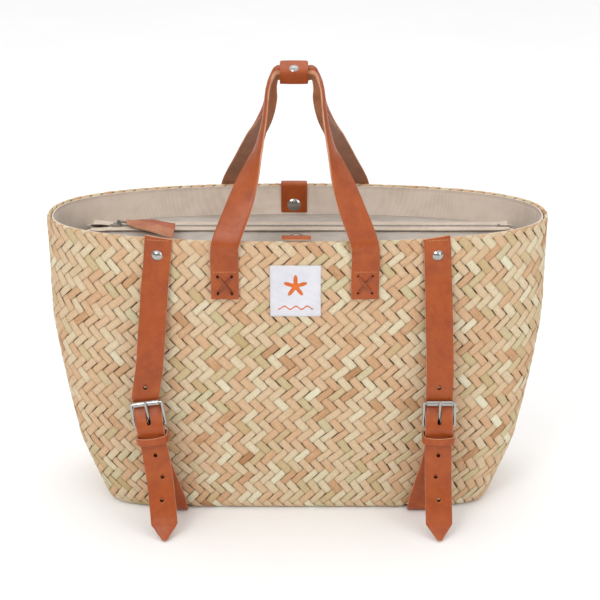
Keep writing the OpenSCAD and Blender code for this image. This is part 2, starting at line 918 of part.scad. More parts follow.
module label() {
  y_low = wall_depth(0, label_low, rim_front);
  y_high = wall_depth(0, label_high, rim_front);
  lean = atan2(y_high - y_low, label_high - label_low);
  color("white")
    translate([-2 - label_w / 2, -y_low - 0.5 - label_t, label_low])
      rotate([lean, 0, 0])
        cube([label_w, label_t, label_high - label_low]);
}

basket_shell();
liner();
zip_panel(-1, rim_front);  // zip_panel_front
zip_panel(1, rim_back);  // zip_panel_back
zip_tape(-1);  // zip_tape_front
zip_tape(1);  // zip_tape_back
zip_coil(-1);  // zip_coil_front
zip_coil(1);  // zip_coil_back
zip_stops();
zip_slider();
zip_pull_link();
zip_pull_leather();
handle_ends(-1, rim_front);  // handle_front_ends
handle_strap(-1, rim_front);  // handle_front_strap
handle_ends(1, rim_back);  // handle_back_ends
handle_strap(1, rim_back);  // handle_back_strap
lacing(-1, rim_front);  // lacing_front
lacing(1, rim_back);  // lacing_back
wrap_body();
wrap_flap();
wrap_snap_cap();
wrap_snap_base();
strap(left_side);  // strap_left
strap(right_side);  // strap_right
strap_rivets();
lower_strap(left_side);  // lower_strap_left
lower_strap(right_side);  // lower_strap_right
lower_strap_rivets();
buckle_frame(left_side);  // buckle_frame_left
buckle_frame(right_side);  // buckle_frame_right
buckle_roller(left_side);  // buckle_roller_left
buckle_roller(right_side);  // buckle_roller_right
buckle_tongue(left_side);  // buckle_tongue_left
buckle_tongue(right_side);  // buckle_tongue_right
keeper(left_side);  // keeper_left
keeper(right_side);  // keeper_right
tab_front_end();
tab_front();
tab_front_snap();
tab_back_end();
tab_back();
tab_back_snap();
label();
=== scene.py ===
import json
import math
from collections import namedtuple

import bmesh
import bpy
import numpy as np
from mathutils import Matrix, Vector


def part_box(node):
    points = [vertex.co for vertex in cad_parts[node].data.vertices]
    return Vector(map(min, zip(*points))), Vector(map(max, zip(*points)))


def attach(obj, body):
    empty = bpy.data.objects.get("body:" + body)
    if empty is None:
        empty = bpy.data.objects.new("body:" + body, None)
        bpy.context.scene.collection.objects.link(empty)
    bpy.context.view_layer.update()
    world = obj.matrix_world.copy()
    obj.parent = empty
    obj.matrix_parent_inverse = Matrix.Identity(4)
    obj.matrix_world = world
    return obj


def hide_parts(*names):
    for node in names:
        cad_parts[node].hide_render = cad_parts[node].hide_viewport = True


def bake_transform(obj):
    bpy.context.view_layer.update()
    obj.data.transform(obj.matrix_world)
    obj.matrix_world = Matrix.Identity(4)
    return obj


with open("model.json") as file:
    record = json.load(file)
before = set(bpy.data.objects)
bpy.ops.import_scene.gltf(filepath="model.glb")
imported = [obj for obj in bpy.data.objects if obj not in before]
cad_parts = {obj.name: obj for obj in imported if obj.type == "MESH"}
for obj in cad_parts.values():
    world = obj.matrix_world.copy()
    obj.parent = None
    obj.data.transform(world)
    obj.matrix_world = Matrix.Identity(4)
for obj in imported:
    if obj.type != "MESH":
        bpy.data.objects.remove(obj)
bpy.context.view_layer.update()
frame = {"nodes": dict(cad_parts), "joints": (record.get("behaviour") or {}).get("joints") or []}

MM = 0.001
UP = np.array([0, 0, 1.0])
RIGHT = np.array([1.0, 0, 0])
rng = np.random.default_rng(11)


def box_mm(node):
    """Lowest and highest corners of a CAD node, in millimetres."""
    low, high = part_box(node)
    return np.array(low) / MM, np.array(high) / MM


def joint_place(name):
    """A joint's pivot, in millimetres."""
    return np.array(next(j for j in frame["joints"] if j["name"] == name)["pos_m"]) / MM


# ---------- Sizes the CAD model gives ----------
shell_low, shell_high = box_mm("basket_shell")
RIM_HALF_W = shell_high[0]
RIM_FRONT = -shell_low[1]
RIM_BACK = shell_high[1]
RIM_Z = shell_high[2]
LINER_FLOOR = box_mm("liner")[0][2]
HEM_TOP = RIM_Z - 1.7
coil_low, coil_high = box_mm("zip_coil_front")
ZIP_Z = (coil_low[2] + coil_high[2]) / 2
COIL_R = (coil_high[2] - coil_low[2]) / 2
COIL_OFF = 1.55
ZIP_Y = coil_high[1] - COIL_R + COIL_OFF
panel_low, panel_high = box_mm("zip_panel_front")
ZIP_OPEN_X = box_mm("zip_slider")[0][0]
label_low, label_high = box_mm("label")

# ---------- Sizes repeated from part.scad ----------
BASE_HALF_W = 208
BASE_EDGE = 74
SHOULDER_Z = 216
FOOT_Z = 76
FOOT_IN = 13.5
RIM_SQUARE = 2.35
BASE_SQUARE = 6
CORNER = 9
LINER_OUT = 4.3
LINER_IN = 5.5
LAY_GAP = 0.35
STRAP_W = 28
STRAP_T = 2.6
STRAP_OFF = LAY_GAP + STRAP_T / 2
HANDLE_MID = -2.5
HANDLE_SPREAD = 70
SEAM_Z = 286
END_BOTTOM = 256
BUCKLE_Y = -104
BAR_Z = 118.6
ROLLER_Z = BAR_Z + 25.4
RIVET_Z = 300
KEEPER_Z = 105.2
KEEPER_BOW = 4.2
FOLD_OFF = 3.2
TAIL_OFF = FOLD_OFF + STRAP_T + 0.6
BEHIND_ROLLER = 4.9
TIP_LEN = 17.5
TIP_END_W = 4.5
WRAP_TILT = math.radians(27)
WRAP_MID = np.array([-3.5, -2.0, 463.5])


# ---------- Basket outline ----------
def half_w(z):
    above = (RIM_HALF_W - BASE_HALF_W - FOOT_IN) * np.maximum(0, 1 - z / SHOULDER_Z) ** 1.25
    return RIM_HALF_W - above - FOOT_IN * np.maximum(0, 1 - z / FOOT_Z) ** 1.1


def depth(z, rim):
    return rim - (rim - BASE_EDGE) * np.maximum(0, 1 - z / RIM_Z) ** 1.3


def squareness(z):
    return RIM_SQUARE + (BASE_SQUARE - RIM_SQUARE) * np.maximum(0, 1 - z / RIM_Z) ** 2


def wall_depth(x, z, rim, inset=0.0):
    """Depth of the wall's face at x and z, drawn in by inset."""
    n = squareness(z)
    share = np.minimum(1, np.abs(x) / (half_w(z) - inset))
    return (depth(z, rim) - inset) * (1 - share**n) ** (1 / n)


def signed_power(v, p):
    return np.sign(v) * np.abs(v) ** p


LEVELS = np.linspace(0, RIM_Z, 72)
AROUND = 1440


def outline_tables():
    """Wall places at each level, evenly spaced round the basket from the middle of the front."""
    angle = np.linspace(-math.pi / 2, 1.5 * math.pi, 4 * AROUND + 1)
    xs, ys = [], []
    for z in LEVELS:
        p = 2 / squareness(z)
        rim = np.where(np.sin(angle) < 0, RIM_FRONT, RIM_BACK)
        x = half_w(z) * signed_power(np.cos(angle), p)
        y = depth(z, rim) * signed_power(np.sin(angle), p)
        run = np.concatenate([[0], np.cumsum(np.hypot(np.diff(x), np.diff(y)))])
        even = np.linspace(0, run[-1], AROUND + 1)
        xs.append(np.interp(even, run, x))
        ys.append(np.interp(even, run, y))
    return np.array(xs), np.array(ys)


TABLE_X, TABLE_Y = outline_tables()


def wall_place(t, z):
    """Place on the wall's outer face at the share t of the way round and the height z."""
    row = np.clip(z / RIM_Z, 0, 1) * (len(LEVELS) - 1)
    r0 = np.minimum(row.astype(int), len(LEVELS) - 2)
    fr = row - r0
    col = (t % 1.0) * AROUND
    c0 = np.minimum(col.astype(int), AROUND - 1)
    fc = col - c0
    out = []
    for table in (TABLE_X, TABLE_Y):
        low = table[r0, c0] * (1 - fc) + table[r0, c0 + 1] * fc
        high = table[r0 + 1, c0] * (1 - fc) + table[r0 + 1, c0 + 1] * fc
        out.append(low * (1 - fr) + high * fr)
    return np.stack([out[0], out[1], z], -1)


RIM_R = 2.0
RIM_START = RIM_Z - RIM_R
RIM_END = RIM_START + RIM_R * math.pi


def profile(v):
    """Height and inset at the place v along the wall's profile: under the base, round its corner,
    up the wall, over the rim and down inside."""
    turn = np.clip((CORNER - v) / CORNER, 0, math.pi / 2)
    under = np.maximum(0, CORNER * (1 - math.pi / 2) - v)
    over = np.clip((v - RIM_START) / RIM_R, 0, math.pi)
    inside = np.maximum(0, v - RIM_END)
    z = np.clip(v, CORNER, RIM_START) - CORNER * np.sin(turn) + RIM_R * np.sin(over) - inside
    inset = CORNER * (1 - np.cos(turn)) + under + RIM_R * (1 - np.cos(over))
    return z, inset


def flat_normal(t, z):
    """Outward direction of the wall's outline, level with the floor."""
    step = 0.5 / AROUND
    d = wall_place(t + step, z) - wall_place(t - step, z)
    n = np.stack([d[..., 1], -d[..., 0], np.zeros_like(z)], -1)
    return n / np.linalg.norm(n, axis=-1, keepdims=True)


def skin_place(t, v):
    z, inset = profile(v)
    return wall_place(t, z) - flat_normal(t, z) * inset[..., None]


def skin(t, v, out):
    """Place at (t, v) on the basket's skin, moved out along the skin's own normal."""
    dt, dv = 0.5 / AROUND, 0.4
    across = skin_place(t + dt, v) - skin_place(t - dt, v)
    up = skin_place(t, v + dv) - skin_place(t, v - dv)
    n = np.cross(across, up)
    n /= np.linalg.norm(n, axis=-1, keepdims=True)
    return skin_place(t, v) + n * out[..., None]


def wall_ring(around, z, inset):
    """A level ring drawn in from the wall's face."""
    zs = np.full_like(around, float(z))
    inset = np.broadcast_to(inset, around.shape)[:, None]
    return wall_place(around, zs) - flat_normal(around, zs) * inset


# ---------- Mesh making ----------
def make_mesh(name, points, faces, materials, slots=None, smooth=True, uv=None, floats=None):
    """A new object from points in millimetres. slots gives each face's material, uv each point's
    texture place, and floats named numbers for each point."""
    mesh = bpy.data.meshes.new(name)
    mesh.from_pydata((np.asarray(points, float) * MM).tolist(), [], [list(f) for f in faces])
    for m in materials:
        mesh.materials.append(m)
    mesh.polygons.foreach_set("use_smooth", np.full(len(mesh.polygons), smooth))
    if slots is not None:
        mesh.polygons.foreach_set("material_index", np.asarray(slots, np.int32))
    if uv is not None:
        corner = np.zeros(len(mesh.loops), np.int32)
        mesh.loops.foreach_get("vertex_index", corner)
        layer = mesh.uv_layers.new(name="fibre")
        layer.data.foreach_set("uv", np.asarray(uv, np.float32)[corner].ravel())
    for key, values in (floats or {}).items():
        mesh.attributes.new(key, "FLOAT", "POINT").data.foreach_set(
            "value", np.asarray(values, np.float32)
        )
    mesh.validate()
    ob = bpy.data.objects.new(name, mesh)
    bpy.context.scene.collection.objects.link(ob)
    return ob


def grid_faces(rows, cols, closed_cols=False, start=0):
    """Faces of a grid of points listed row by row."""
    out = []
    span = cols if closed_cols else cols - 1
    for r in range(rows - 1):
        for c in range(span):
            d = (c + 1) % cols
            out.append(
                (start + r * cols + c, start + r * cols + d, start + (r + 1) * cols + d,
                 start + (r + 1) * cols + c)
            )
    return out


def ring_solid(rings):
    """Points and faces of a closed solid through rings of equal count, capped at both ends."""
    cols = len(rings[0])
    points = np.concatenate(rings)
    faces = grid_faces(len(rings), cols, closed_cols=True)
    faces.append(tuple(range(cols - 1, -1, -1)))
    last = (len(rings) - 1) * cols
    faces.append(tuple(last + i for i in range(cols)))
    return points, faces


def fix_normals(ob):
    bm = bmesh.new()
    bm.from_mesh(ob.data)
    bmesh.ops.recalc_face_normals(bm, faces=bm.faces)
    bm.to_mesh(ob.data)
    bm.free()
    return ob


def bake_modifiers(ob):
    """Apply an object's modifiers to its mesh."""
    graph = bpy.context.evaluated_depsgraph_get()
    mesh = bpy.data.meshes.new_from_object(ob.evaluated_get(graph))
    ob.modifiers.clear()
    ob.data = mesh
    return ob


def cut(ob, points, faces, edge_material):
    """Cut a closed solid, given in millimetres, out of an object."""
    tool = fix_normals(make_mesh("cutter", points, faces, [edge_material]))
    mod = ob.modifiers.new("cut", "BOOLEAN")
    mod.operation = "DIFFERENCE"
    mod.solver = "EXACT"
    mod.material_mode = "TRANSFER"
    mod.object = tool
    bpy.context.view_layer.update()
    bake_modifiers(ob)
    bpy.data.objects.remove(tool)
    return ob


def give(ob, body, slot, *nodes):
    """Attach a finished piece to the body it rides and hide the nodes it replaces. slot is not
    used.
    """
    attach(ob, body)
    if nodes:
        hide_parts(*nodes)
    return ob


def ring_mesh(name, rings, looks):
    """A closed solid through rings, with its faces turned outward."""
    return fix_normals(make_mesh(name, *ring_solid(rings), looks))


def unit(v):
    return v / np.maximum(1e-9, np.linalg.norm(v, axis=-1, keepdims=True))


def smooth_rows(rows, steps):
    """A smooth list through rows of numbers, with steps points to each span."""
    rows = np.array(rows, float)
    out = []
    for k in range(len(rows) - 1):
        a, b, c, d = rows[max(0, k - 1)], rows[k], rows[k + 1], rows[min(len(rows) - 1, k + 2)]
        for s in range(steps):
            u = s / steps
            out.append(
                0.5 * (2 * b + (c - a) * u + (2 * a - 5 * b + 4 * c - d) * u * u
                       + (3 * b - a - 3 * c + d) * u**3)
            )
    out.append(rows[-1])
    return np.array(out)


def noise1(x, seed=0.0):
    """Soft noise of about -1 to 1 along one number."""
    x = np.asarray(x, float) + seed * 17.3
    second = np.sin(x * 1.73 + 1.3 + seed) * 0.3
    return np.sin(x) * 0.5 + second + np.sin(x * 2.91 + 4.1 + seed * 2) * 0.2


# ---------- Materials ----------
class Look:
    """A procedural material, built node by node around one Principled shader."""

    def __init__(self, name, **sockets):
        self.mat = bpy.data.materials.new(name)
        self.mat.use_nodes = True
        self.tree = self.mat.node_tree
        self.shader = self.tree.nodes["Principled BSDF"]
        for key, value in sockets.items():
            self.shader.inputs[key.replace("_", " ")].default_value = value
        self.height = None

    def node(self, kind, inputs=None, **settings):
        n = self.tree.nodes.new("ShaderNode" + kind)
        for key, value in settings.items():
            setattr(n, key, value)
        for key, value in (inputs or {}).items():
            if isinstance(value, bpy.types.NodeSocket):
                self.tree.links.new(value, n.inputs[key])
            else:
                n.inputs[key].default_value = value
        return n

    def coords(self, stretch=(1, 1, 1)):
        c = self.node("TexCoord").outputs["Object"]
        return self.node("Mapping", {0: c, "Scale": stretch}).outputs[0]

    def noise(self, size_mm, where=None, detail=3.0, rough=0.6, distortion=0.0):
        """Noise with lumps of about size_mm."""
        where = where or self.coords()
        return self.node(
            "TexNoise",
            {"Vector": where, "Scale": 1 / (size_mm * MM), "Detail": detail, "Roughness": rough,
             "Distortion": distortion},
        ).outputs["Fac"]

    def ramp(self, fac, *stops):
        r = self.node("ValToRGB", {"Fac": fac})
        points = r.color_ramp.elements
        while len(points) < len(stops):
            points.new(0.5)
        for p, (place, colour) in zip(points, stops):
            p.position = place
            p.color = (*colour, 1) if len(colour) == 3 else colour
        return r.outputs["Color"]

    def spread(self, fac, low, high, to_low, to_high):
        """A number carried from one range to another."""
        return self.node(
            "MapRange", {"Value": fac, 1: low, 2: high, 3: to_low, 4: to_high}
        ).outputs["Result"]

    def maths(self, what, a, b):
        return self.node("Math", {0: a, 1: b}, operation=what).outputs[0]

    def mix(self, fac, a, b, how="MIX"):
        n = self.node("Mix", data_type="RGBA", blend_type=how)
        for socket, value in ((n.inputs[0], fac), (n.inputs[6], a), (n.inputs[7], b)):
            if isinstance(value, bpy.types.NodeSocket):
                self.tree.links.new(value, socket)
            elif isinstance(value, (int, float)):
                socket.default_value = value
            else:
                socket.default_value = (*value, 1)
        return n.outputs[2]

    def colour(self, socket):
        self.tree.links.new(socket, self.shader.inputs["Base Color"])
        return self

    def roughness(self, socket):
        self.tree.links.new(socket, self.shader.inputs["Roughness"])
        return self

    def bump(self, height, strength, distance_mm):
        n = self.node(
            "Bump", {"Height": height, "Strength": strength, "Distance": distance_mm * MM}
        )
        if self.height:
            self.tree.links.new(self.height, n.inputs["Normal"])
        self.height = n.outputs[0]
        self.tree.links.new(self.height, self.shader.inputs["Normal"])
        return self


def srgb(r, g, b):
    """A colour given as 0 to 255 on a screen, as the shaders want it."""
    def one(c):
        c /= 255
        return c / 12.92 if c <= 0.04045 else ((c + 0.055) / 1.055) ** 2.4
    return one(r), one(g), one(b)


def seagrass_look():
    look = Look("seagrass", Specular_IOR_Level=0.3)
    fibre = look.node("UVMap", uv_map="fibre").outputs[0]
    along = look.node("Mapping", {0: fibre, "Scale": (0.09, 1.7, 1)}).outputs[0]
    streak = look.noise(1000, along, detail=4, rough=0.7)
    fine = look.noise(1000, look.node("Mapping", {0: fibre, "Scale": (0.25, 6.5, 1)}).outputs[0],
                      detail=3, rough=0.7)
    tone = look.node("Attribute", attribute_name="tone").outputs["Fac"]
    value = look.maths("ADD", tone, look.spread(streak, 0.3, 0.7, -0.24, 0.24))
    grass = look.ramp(
        value,
        (0.0, srgb(176, 130, 88)),
        (0.22, srgb(205, 162, 122)),
        (0.42, srgb(215, 178, 141)),
        (0.6, srgb(216, 190, 155)),
        (0.78, srgb(221, 205, 172)),
        (1.0, srgb(228, 220, 190)),
    )
    green = look.node("Attribute", attribute_name="green").outputs["Fac"]
    grass = look.mix(green, grass, srgb(188, 176, 126))
    hair = look.spread(fine, 0.34, 0.52, 0.62, 1.0)
    grass = look.mix(1.0, grass, look.node("CombineColor", {0: hair, 1: hair, 2: hair}).outputs[0],
                     "MULTIPLY")
    # Painted shade: the shade attribute pulls the floats' tucked ends and side walls towards dark
    # brown, as the shade where they pass under their neighbours.
    edge = look.node("Attribute", attribute_name="shade").outputs["Fac"]
    grass = look.mix(edge, grass, srgb(118, 80, 44))
    look.colour(grass)
    look.roughness(look.spread(streak, 0.3, 0.7, 0.5, 0.78))
    look.bump(fine, 0.55, 0.35)
    look.bump(streak, 0.5, 0.5)
    return look.mat


def backing_look():
    # Painted shade: the strips passing under the plait, coloured dark brown as they look in the
    # shade of the gaps.
    look = Look("seagrass_shadow", Roughness=0.9, Specular_IOR_Level=0.1)
    look.colour(look.ramp(look.noise(6), (0.35, srgb(74, 48, 26)), (0.7, srgb(120, 86, 52))))
    return look.bump(look.noise(1.2), 0.6, 0.4).mat


def cloth_look(name, light, dark, thread_mm=0.9):
    """A plain woven cloth: crossing threads, soft blotches and a little fluff."""
    look = Look(name, Roughness=0.92, Sheen_Weight=0.15, Specular_IOR_Level=0.2)
    where = look.coords()
    scale = 0.314 / (thread_mm * MM)
    threads = [
        look.node("TexWave", {"Vector": where, "Scale": scale, "Distortion": 1.2,
                              "Detail": 1.5, "Detail Scale": 0.6}, bands_direction=axis
                  ).outputs["Fac"]
        for axis in ("X", "Y", "Z")
    ]
    weave = look.maths("MULTIPLY", look.maths("ADD", threads[0], 0.25),
                       look.maths("ADD", look.maths("MAXIMUM", threads[1], threads[2]), 0.25))
    blotch = look.noise(26, detail=5)
    value = look.maths("ADD", look.spread(weave, 0, 1.2, -0.18, 0.18), blotch)
    look.colour(look.ramp(value, (0.3, dark), (0.66, light)))
    return look.bump(weave, 0.5, 0.25).bump(look.noise(14, detail=4), 0.35, 1.2).mat


LEATHER_GRAIN = 0.2
LEATHER_GLOSS = 0.36


def leather_look(name, dark, mid, light):
    """Smooth pull-up leather: blotchy tone, fine pores and faint creases."""
    look = Look(name, Specular_IOR_Level=0.4, Coat_Weight=0.1, Coat_Roughness=0.3)
    blotch = look.noise(24, detail=6, rough=0.62, distortion=0.4)
    cloud = look.noise(5, detail=4, rough=0.6)
    value = look.maths("ADD", look.maths("MULTIPLY", blotch, 0.72),
                       look.maths("MULTIPLY", cloud, 0.28))
    tone = look.ramp(value, (0.32, dark), (0.5, mid), (0.68, light))
    pores = look.node("TexVoronoi", {"Vector": look.coords(), "Scale": 1 / (0.85 * MM),
                                     "Randomness": 0.9}, feature="DISTANCE_TO_EDGE"
                      ).outputs["Distance"]
    pore = look.spread(pores, 0.0, 0.16, 0.0, 1.0)
    line = look.node("CombineColor", {0: pore, 1: pore, 2: pore}).outputs[0]
    tone = look.mix(0.04, tone, line, "MULTIPLY")
    look.colour(tone)
    look.roughness(look.spread(look.noise(3.2, detail=5), 0.3, 0.7, LEATHER_GLOSS - 0.09,
                               LEATHER_GLOSS + 0.14))
    look.bump(pore, LEATHER_GRAIN, 0.12)
    look.bump(look.noise(2.6, look.coords((1, 1, 0.45)), detail=5), LEATHER_GRAIN * 0.6, 0.35)
    return look.mat


def fibre_look(name, dark, light, lump=0.6, sheen=0.35):
    """Cut edges and the suede back: short fibres with no gloss."""
    look = Look(name, Roughness=0.95, Sheen_Weight=sheen, Specular_IOR_Level=0.15)
    nap = look.noise(lump, detail=5, rough=0.75)
    value = look.maths("ADD", look.maths("MULTIPLY", nap, 0.5),
                       look.maths("MULTIPLY", look.noise(16, detail=4), 0.5))
    look.colour(look.ramp(value, (0.34, dark), (0.64, light)))
    return look.bump(nap, 0.6, 0.25).mat


def metal_look(name, colour, rough):
    look = Look(name, Metallic=1.0)
    wear = look.noise(9, detail=6, rough=0.7)
    look.colour(look.ramp(wear, (0.3, tuple(c * 0.86 for c in colour)), (0.65, colour)))
    lines = look.noise(1.6, look.coords((1, 0.12, 0.4)), detail=4, rough=0.8)
    look.roughness(look.spread(lines, 0.3, 0.75, rough, rough + 0.08))
    return look.bump(lines, 0.12, 0.03).mat


COGNAC = (srgb(140, 58, 10), srgb(158, 70, 15), srgb(170, 82, 24))
SEAGRASS = seagrass_look()
BACKING = backing_look()
LINER = cloth_look("canvas_liner", srgb(226, 212, 198), srgb(208, 192, 176))
STRIP = cloth_look("canvas_strip", srgb(186, 176, 166), srgb(160, 150, 140), thread_mm=0.8)
TAPE = cloth_look("zip_tape_cloth", srgb(206, 190, 172), srgb(184, 166, 148), thread_mm=0.6)
FRAYED = fibre_look("canvas_edge", srgb(206, 194, 178), srgb(240, 232, 220), lump=0.5, sheen=0.2)
THREAD = fibre_look("thread", srgb(176, 118, 62), srgb(214, 160, 100), lump=0.4)
PALE_THREAD = fibre_look("pale_thread", srgb(206, 196, 180), srgb(238, 230, 218), lump=0.4)
GRAIN = leather_look("leather_grain", *COGNAC)
EDGE = fibre_look("leather_edge", srgb(166, 106, 74), srgb(214, 164, 132), lump=0.7, sheen=0.1)
SUEDE = fibre_look("leather_suede", srgb(128, 76, 48), srgb(168, 112, 78), lump=0.8)
LACE = leather_look("leather_lace", srgb(104, 46, 20), srgb(132, 62, 28), srgb(158, 82, 42))
# Painted light: a lighter, paler copy of the grain leather for the lower half of the zip pull's
# ridged face, as the light falling on that side.
GRAIN_LIT = leather_look("leather_grain_lit", srgb(142, 78, 44), srgb(162, 96, 60), srgb(180, 116, 80))
CHROME = metal_look("chrome", srgb(176, 174, 170), 0.14)
PLATED = metal_look("plated_zip_metal", srgb(158, 155, 150), 0.22)
COIL = Look("zip_coil_nylon", Roughness=0.45)
COIL.colour(COIL.ramp(COIL.noise(1.5), (0.35, srgb(120, 112, 104)), (0.65, srgb(158, 150, 140))))
COIL = COIL.bump(COIL.noise(0.6), 0.3, 0.1).mat
COTTON = cloth_look("label_cotton", srgb(228, 227, 233), srgb(214, 213, 221), thread_mm=0.55)
# Painted shade: the walls of punched and cut holes are coloured near black, as the shade inside the
# holes.
HOLE_SHADE = fibre_look("leather_hole_shade", srgb(34, 18, 10), srgb(62, 34, 20), lump=0.6, sheen=0.0)
PRINT = cloth_look("label_print", srgb(226, 120, 56), srgb(206, 98, 40), thread_mm=0.55)
LEATHER = (GRAIN, EDGE, SUEDE)


# ---------- Plaited basket ----------
STRIP_W = 9.0
DIAGONALS = 96
ROW_STEP = 2 * STRIP_W / math.sqrt(2)
LEAN = 0.13
RELIEF = 1.15
FLOAT_T = 0.75
BASE_LIFT = 0.4
GROOVE_DEEP = 2.5
TUCK = 0.11


def with_sides(values):
    """A float's grid of values, followed by those along its two long sides again."""
    rest = values.shape[2:]
    return np.concatenate([values.reshape(-1, *rest), values[:, [0, -1]].reshape(-1, *rest)])


def weave_floats(name, rows, place, size=(8, 5), keep=None):
    """One mesh of plaited floats. rows lists (place along, place up, direction) of each float's
    middle on the flat pattern, and place carries the flat pattern on to the basket."""
    nu, nv = size
    u, v = np.meshgrid(np.linspace(0, 1, nu), np.linspace(0, 1, nv), indexing="ij")
    end, side = np.abs(2 * u - 1), np.abs(2 * v - 1)
    points, faces, uvs, tones, greens, shades = [], [], [], [], [], []
    top = grid_faces(nu, nv)
    low = nu * nv
    for s0, h0, way, strand in rows:
        width = STRIP_W * rng.uniform(0.86, 1.0)
        length = 2 * STRIP_W * (1 + 2 * TUCK)
        twist = rng.normal(0, 0.02)
        tilt, lift = rng.normal(0, 0.16), rng.normal(0, 0.12)
        ripple, phase = rng.uniform(0.1, 0.32), rng.uniform(0, 6.28)
        tone_here, green_here = strand
        jitter = rng.normal(0, 0.12)
        if keep is not None and not keep(s0, h0):
            continue
        a = (u - 0.5) * length
        c = (v - 0.5) * width * (1 - 0.1 * end**4) + ripple * np.sin(a * 0.55 + phase) * 0.8
        da = way * math.pi / 4 + twist
        along = np.array([math.cos(da), math.sin(da)])
        over = np.array([-along[1], along[0]])
        s = s0 + a * along[0] + c * over[0]
        h = h0 + a * along[1] + c * over[1]
        dome = (1 - end**4.5) * (1 - 0.3 * side**4)
        fold = 0.16 * np.cos(side * 5.0 + phase)
        out = RELIEF * (dome - 1) - 0.35 * np.maximum(0, end - 0.86) / 0.14 + lift * (1 - end**2)
        out = out + tilt * (v - 0.5) + fold * (1 - end)
        out = np.minimum(out, 0.35)
        base = len(points)
        points.extend(place(s, h, out).reshape(-1, 3))
        sides = (s[:, [0, -1]], h[:, [0, -1]], out[:, [0, -1]] - FLOAT_T)
        points.extend(place(*sides).reshape(-1, 3))
        faces.extend([tuple(base + i for i in f) for f in top])
        for r in range(nu - 1):
            t0, t1 = base + r * nv, base + (r + 1) * nv
            b0, b1 = base + low + 2 * r, base + low + 2 * (r + 1)
            faces.append((b0, t0, t1, b1))
            faces.append((t0 + nv - 1, b0 + 1, b1 + 1, t1 + nv - 1))
            faces.append((b0 + 1, b0, b1, b1 + 1))
        first, last = base, base + (nu - 1) * nv
        faces.append((*[first + i for i in range(nv)][::-1], base + low, base + low + 1))
        faces.append(
            (*[last + i for i in range(nv)], base + low + 2 * nu - 1, base + low + 2 * nu - 2)
        )
        shift = rng.uniform(0, 60, 2)
        uvs.extend(with_sides(np.stack([a + shift[0], c + shift[1]], -1)))
        tones.extend([tone_here + jitter] * (low + 2 * nu))
        greens.extend([green_here] * (low + 2 * nu))
        # Painted shade: darker towards each float's ends, where it tucks under its neighbours, a
        # little darker along its long edges, and darkest on its side walls.
        dark = 0.42 * np.clip((end - 0.8) / 0.2, 0, 1) + 0.12 * np.clip((side - 0.75) / 0.25, 0, 1)
        shades.extend(np.clip(dark, 0, 0.8).ravel())
        shades.extend([0.8] * (2 * nu))
    ob = make_mesh(name, points, faces, [SEAGRASS], uv=uvs,
                   floats={"tone": tones, "green": greens, "shade": shades})
    return give(ob, "basket", "seagrass")


def strand_tones(count):
    """Tone and greenness of each strip, which runs on from float to float."""
    tone = np.clip(rng.normal(0.52, 0.13, count), 0.15, 0.92)
    green = np.where(rng.random(count) < 0.2, rng.uniform(0.2, 0.55, count), 0.0)
    return np.stack([tone, green], -1)


def pattern_rows(low, high, count):
    """Middles of the floats of a twill whose rows lean one way and the other by turns."""
    strands = {1: strand_tones(count), -1: strand_tones(count)}
    out = []
    first, last = math.ceil(low / ROW_STEP), math.floor(high / ROW_STEP)
    for r in range(first, last + 1):
        way = 1 if r % 2 else -1
        for k in range(count):
            h = (r + 0.25) * ROW_STEP
            s = (k + 0.25 + 0.5 * (r % 2)) * ROW_STEP
            strand = strands[way][(k - way * r) % count]
            out.append((s, h, way, strand))
    return out


AROUND_LENGTH = DIAGONALS * ROW_STEP


def sunk(spot):
    """How far the plait gives way, at a place near the base, to a lower strap in its groove."""
    x, y, z = spot[..., 0], spot[..., 1], spot[..., 2]
    near = np.min([np.abs(x - side.groove) for side in SIDES.values()], axis=0)
    beside = np.clip((19 - near) / 4, 0, 1)
    along = np.clip((-26 - y) / 6, 0, 1)
    return GROOVE_DEEP * beside * along * np.clip((7 - z) / 4, 0, 1)


def round_basket(s, h, out):
    """Carry the flat pattern round the basket, with the small wander of handwork."""
    t = (s + LEAN * h) / AROUND_LENGTH
    wander = 1.6 * noise1(h / 46 + 1.5 * np.sin(2 * math.pi * t), 1)
    rise = 1.5 * np.sin(2 * math.pi * (3 * t + 0.1)) + 1.1 * np.sin(2 * math.pi * (7 * t + h / 400))
    v = h + rise * np.clip((RIM_START - 6 - h) / 60, 0, 1) * np.clip((h - 12) / 40, 0, 1)
    spot = skin(t + wander / AROUND_LENGTH, v, out)
    spot[..., 2] = np.maximum(spot[..., 2] + sunk(spot), 0.02)
    return spot


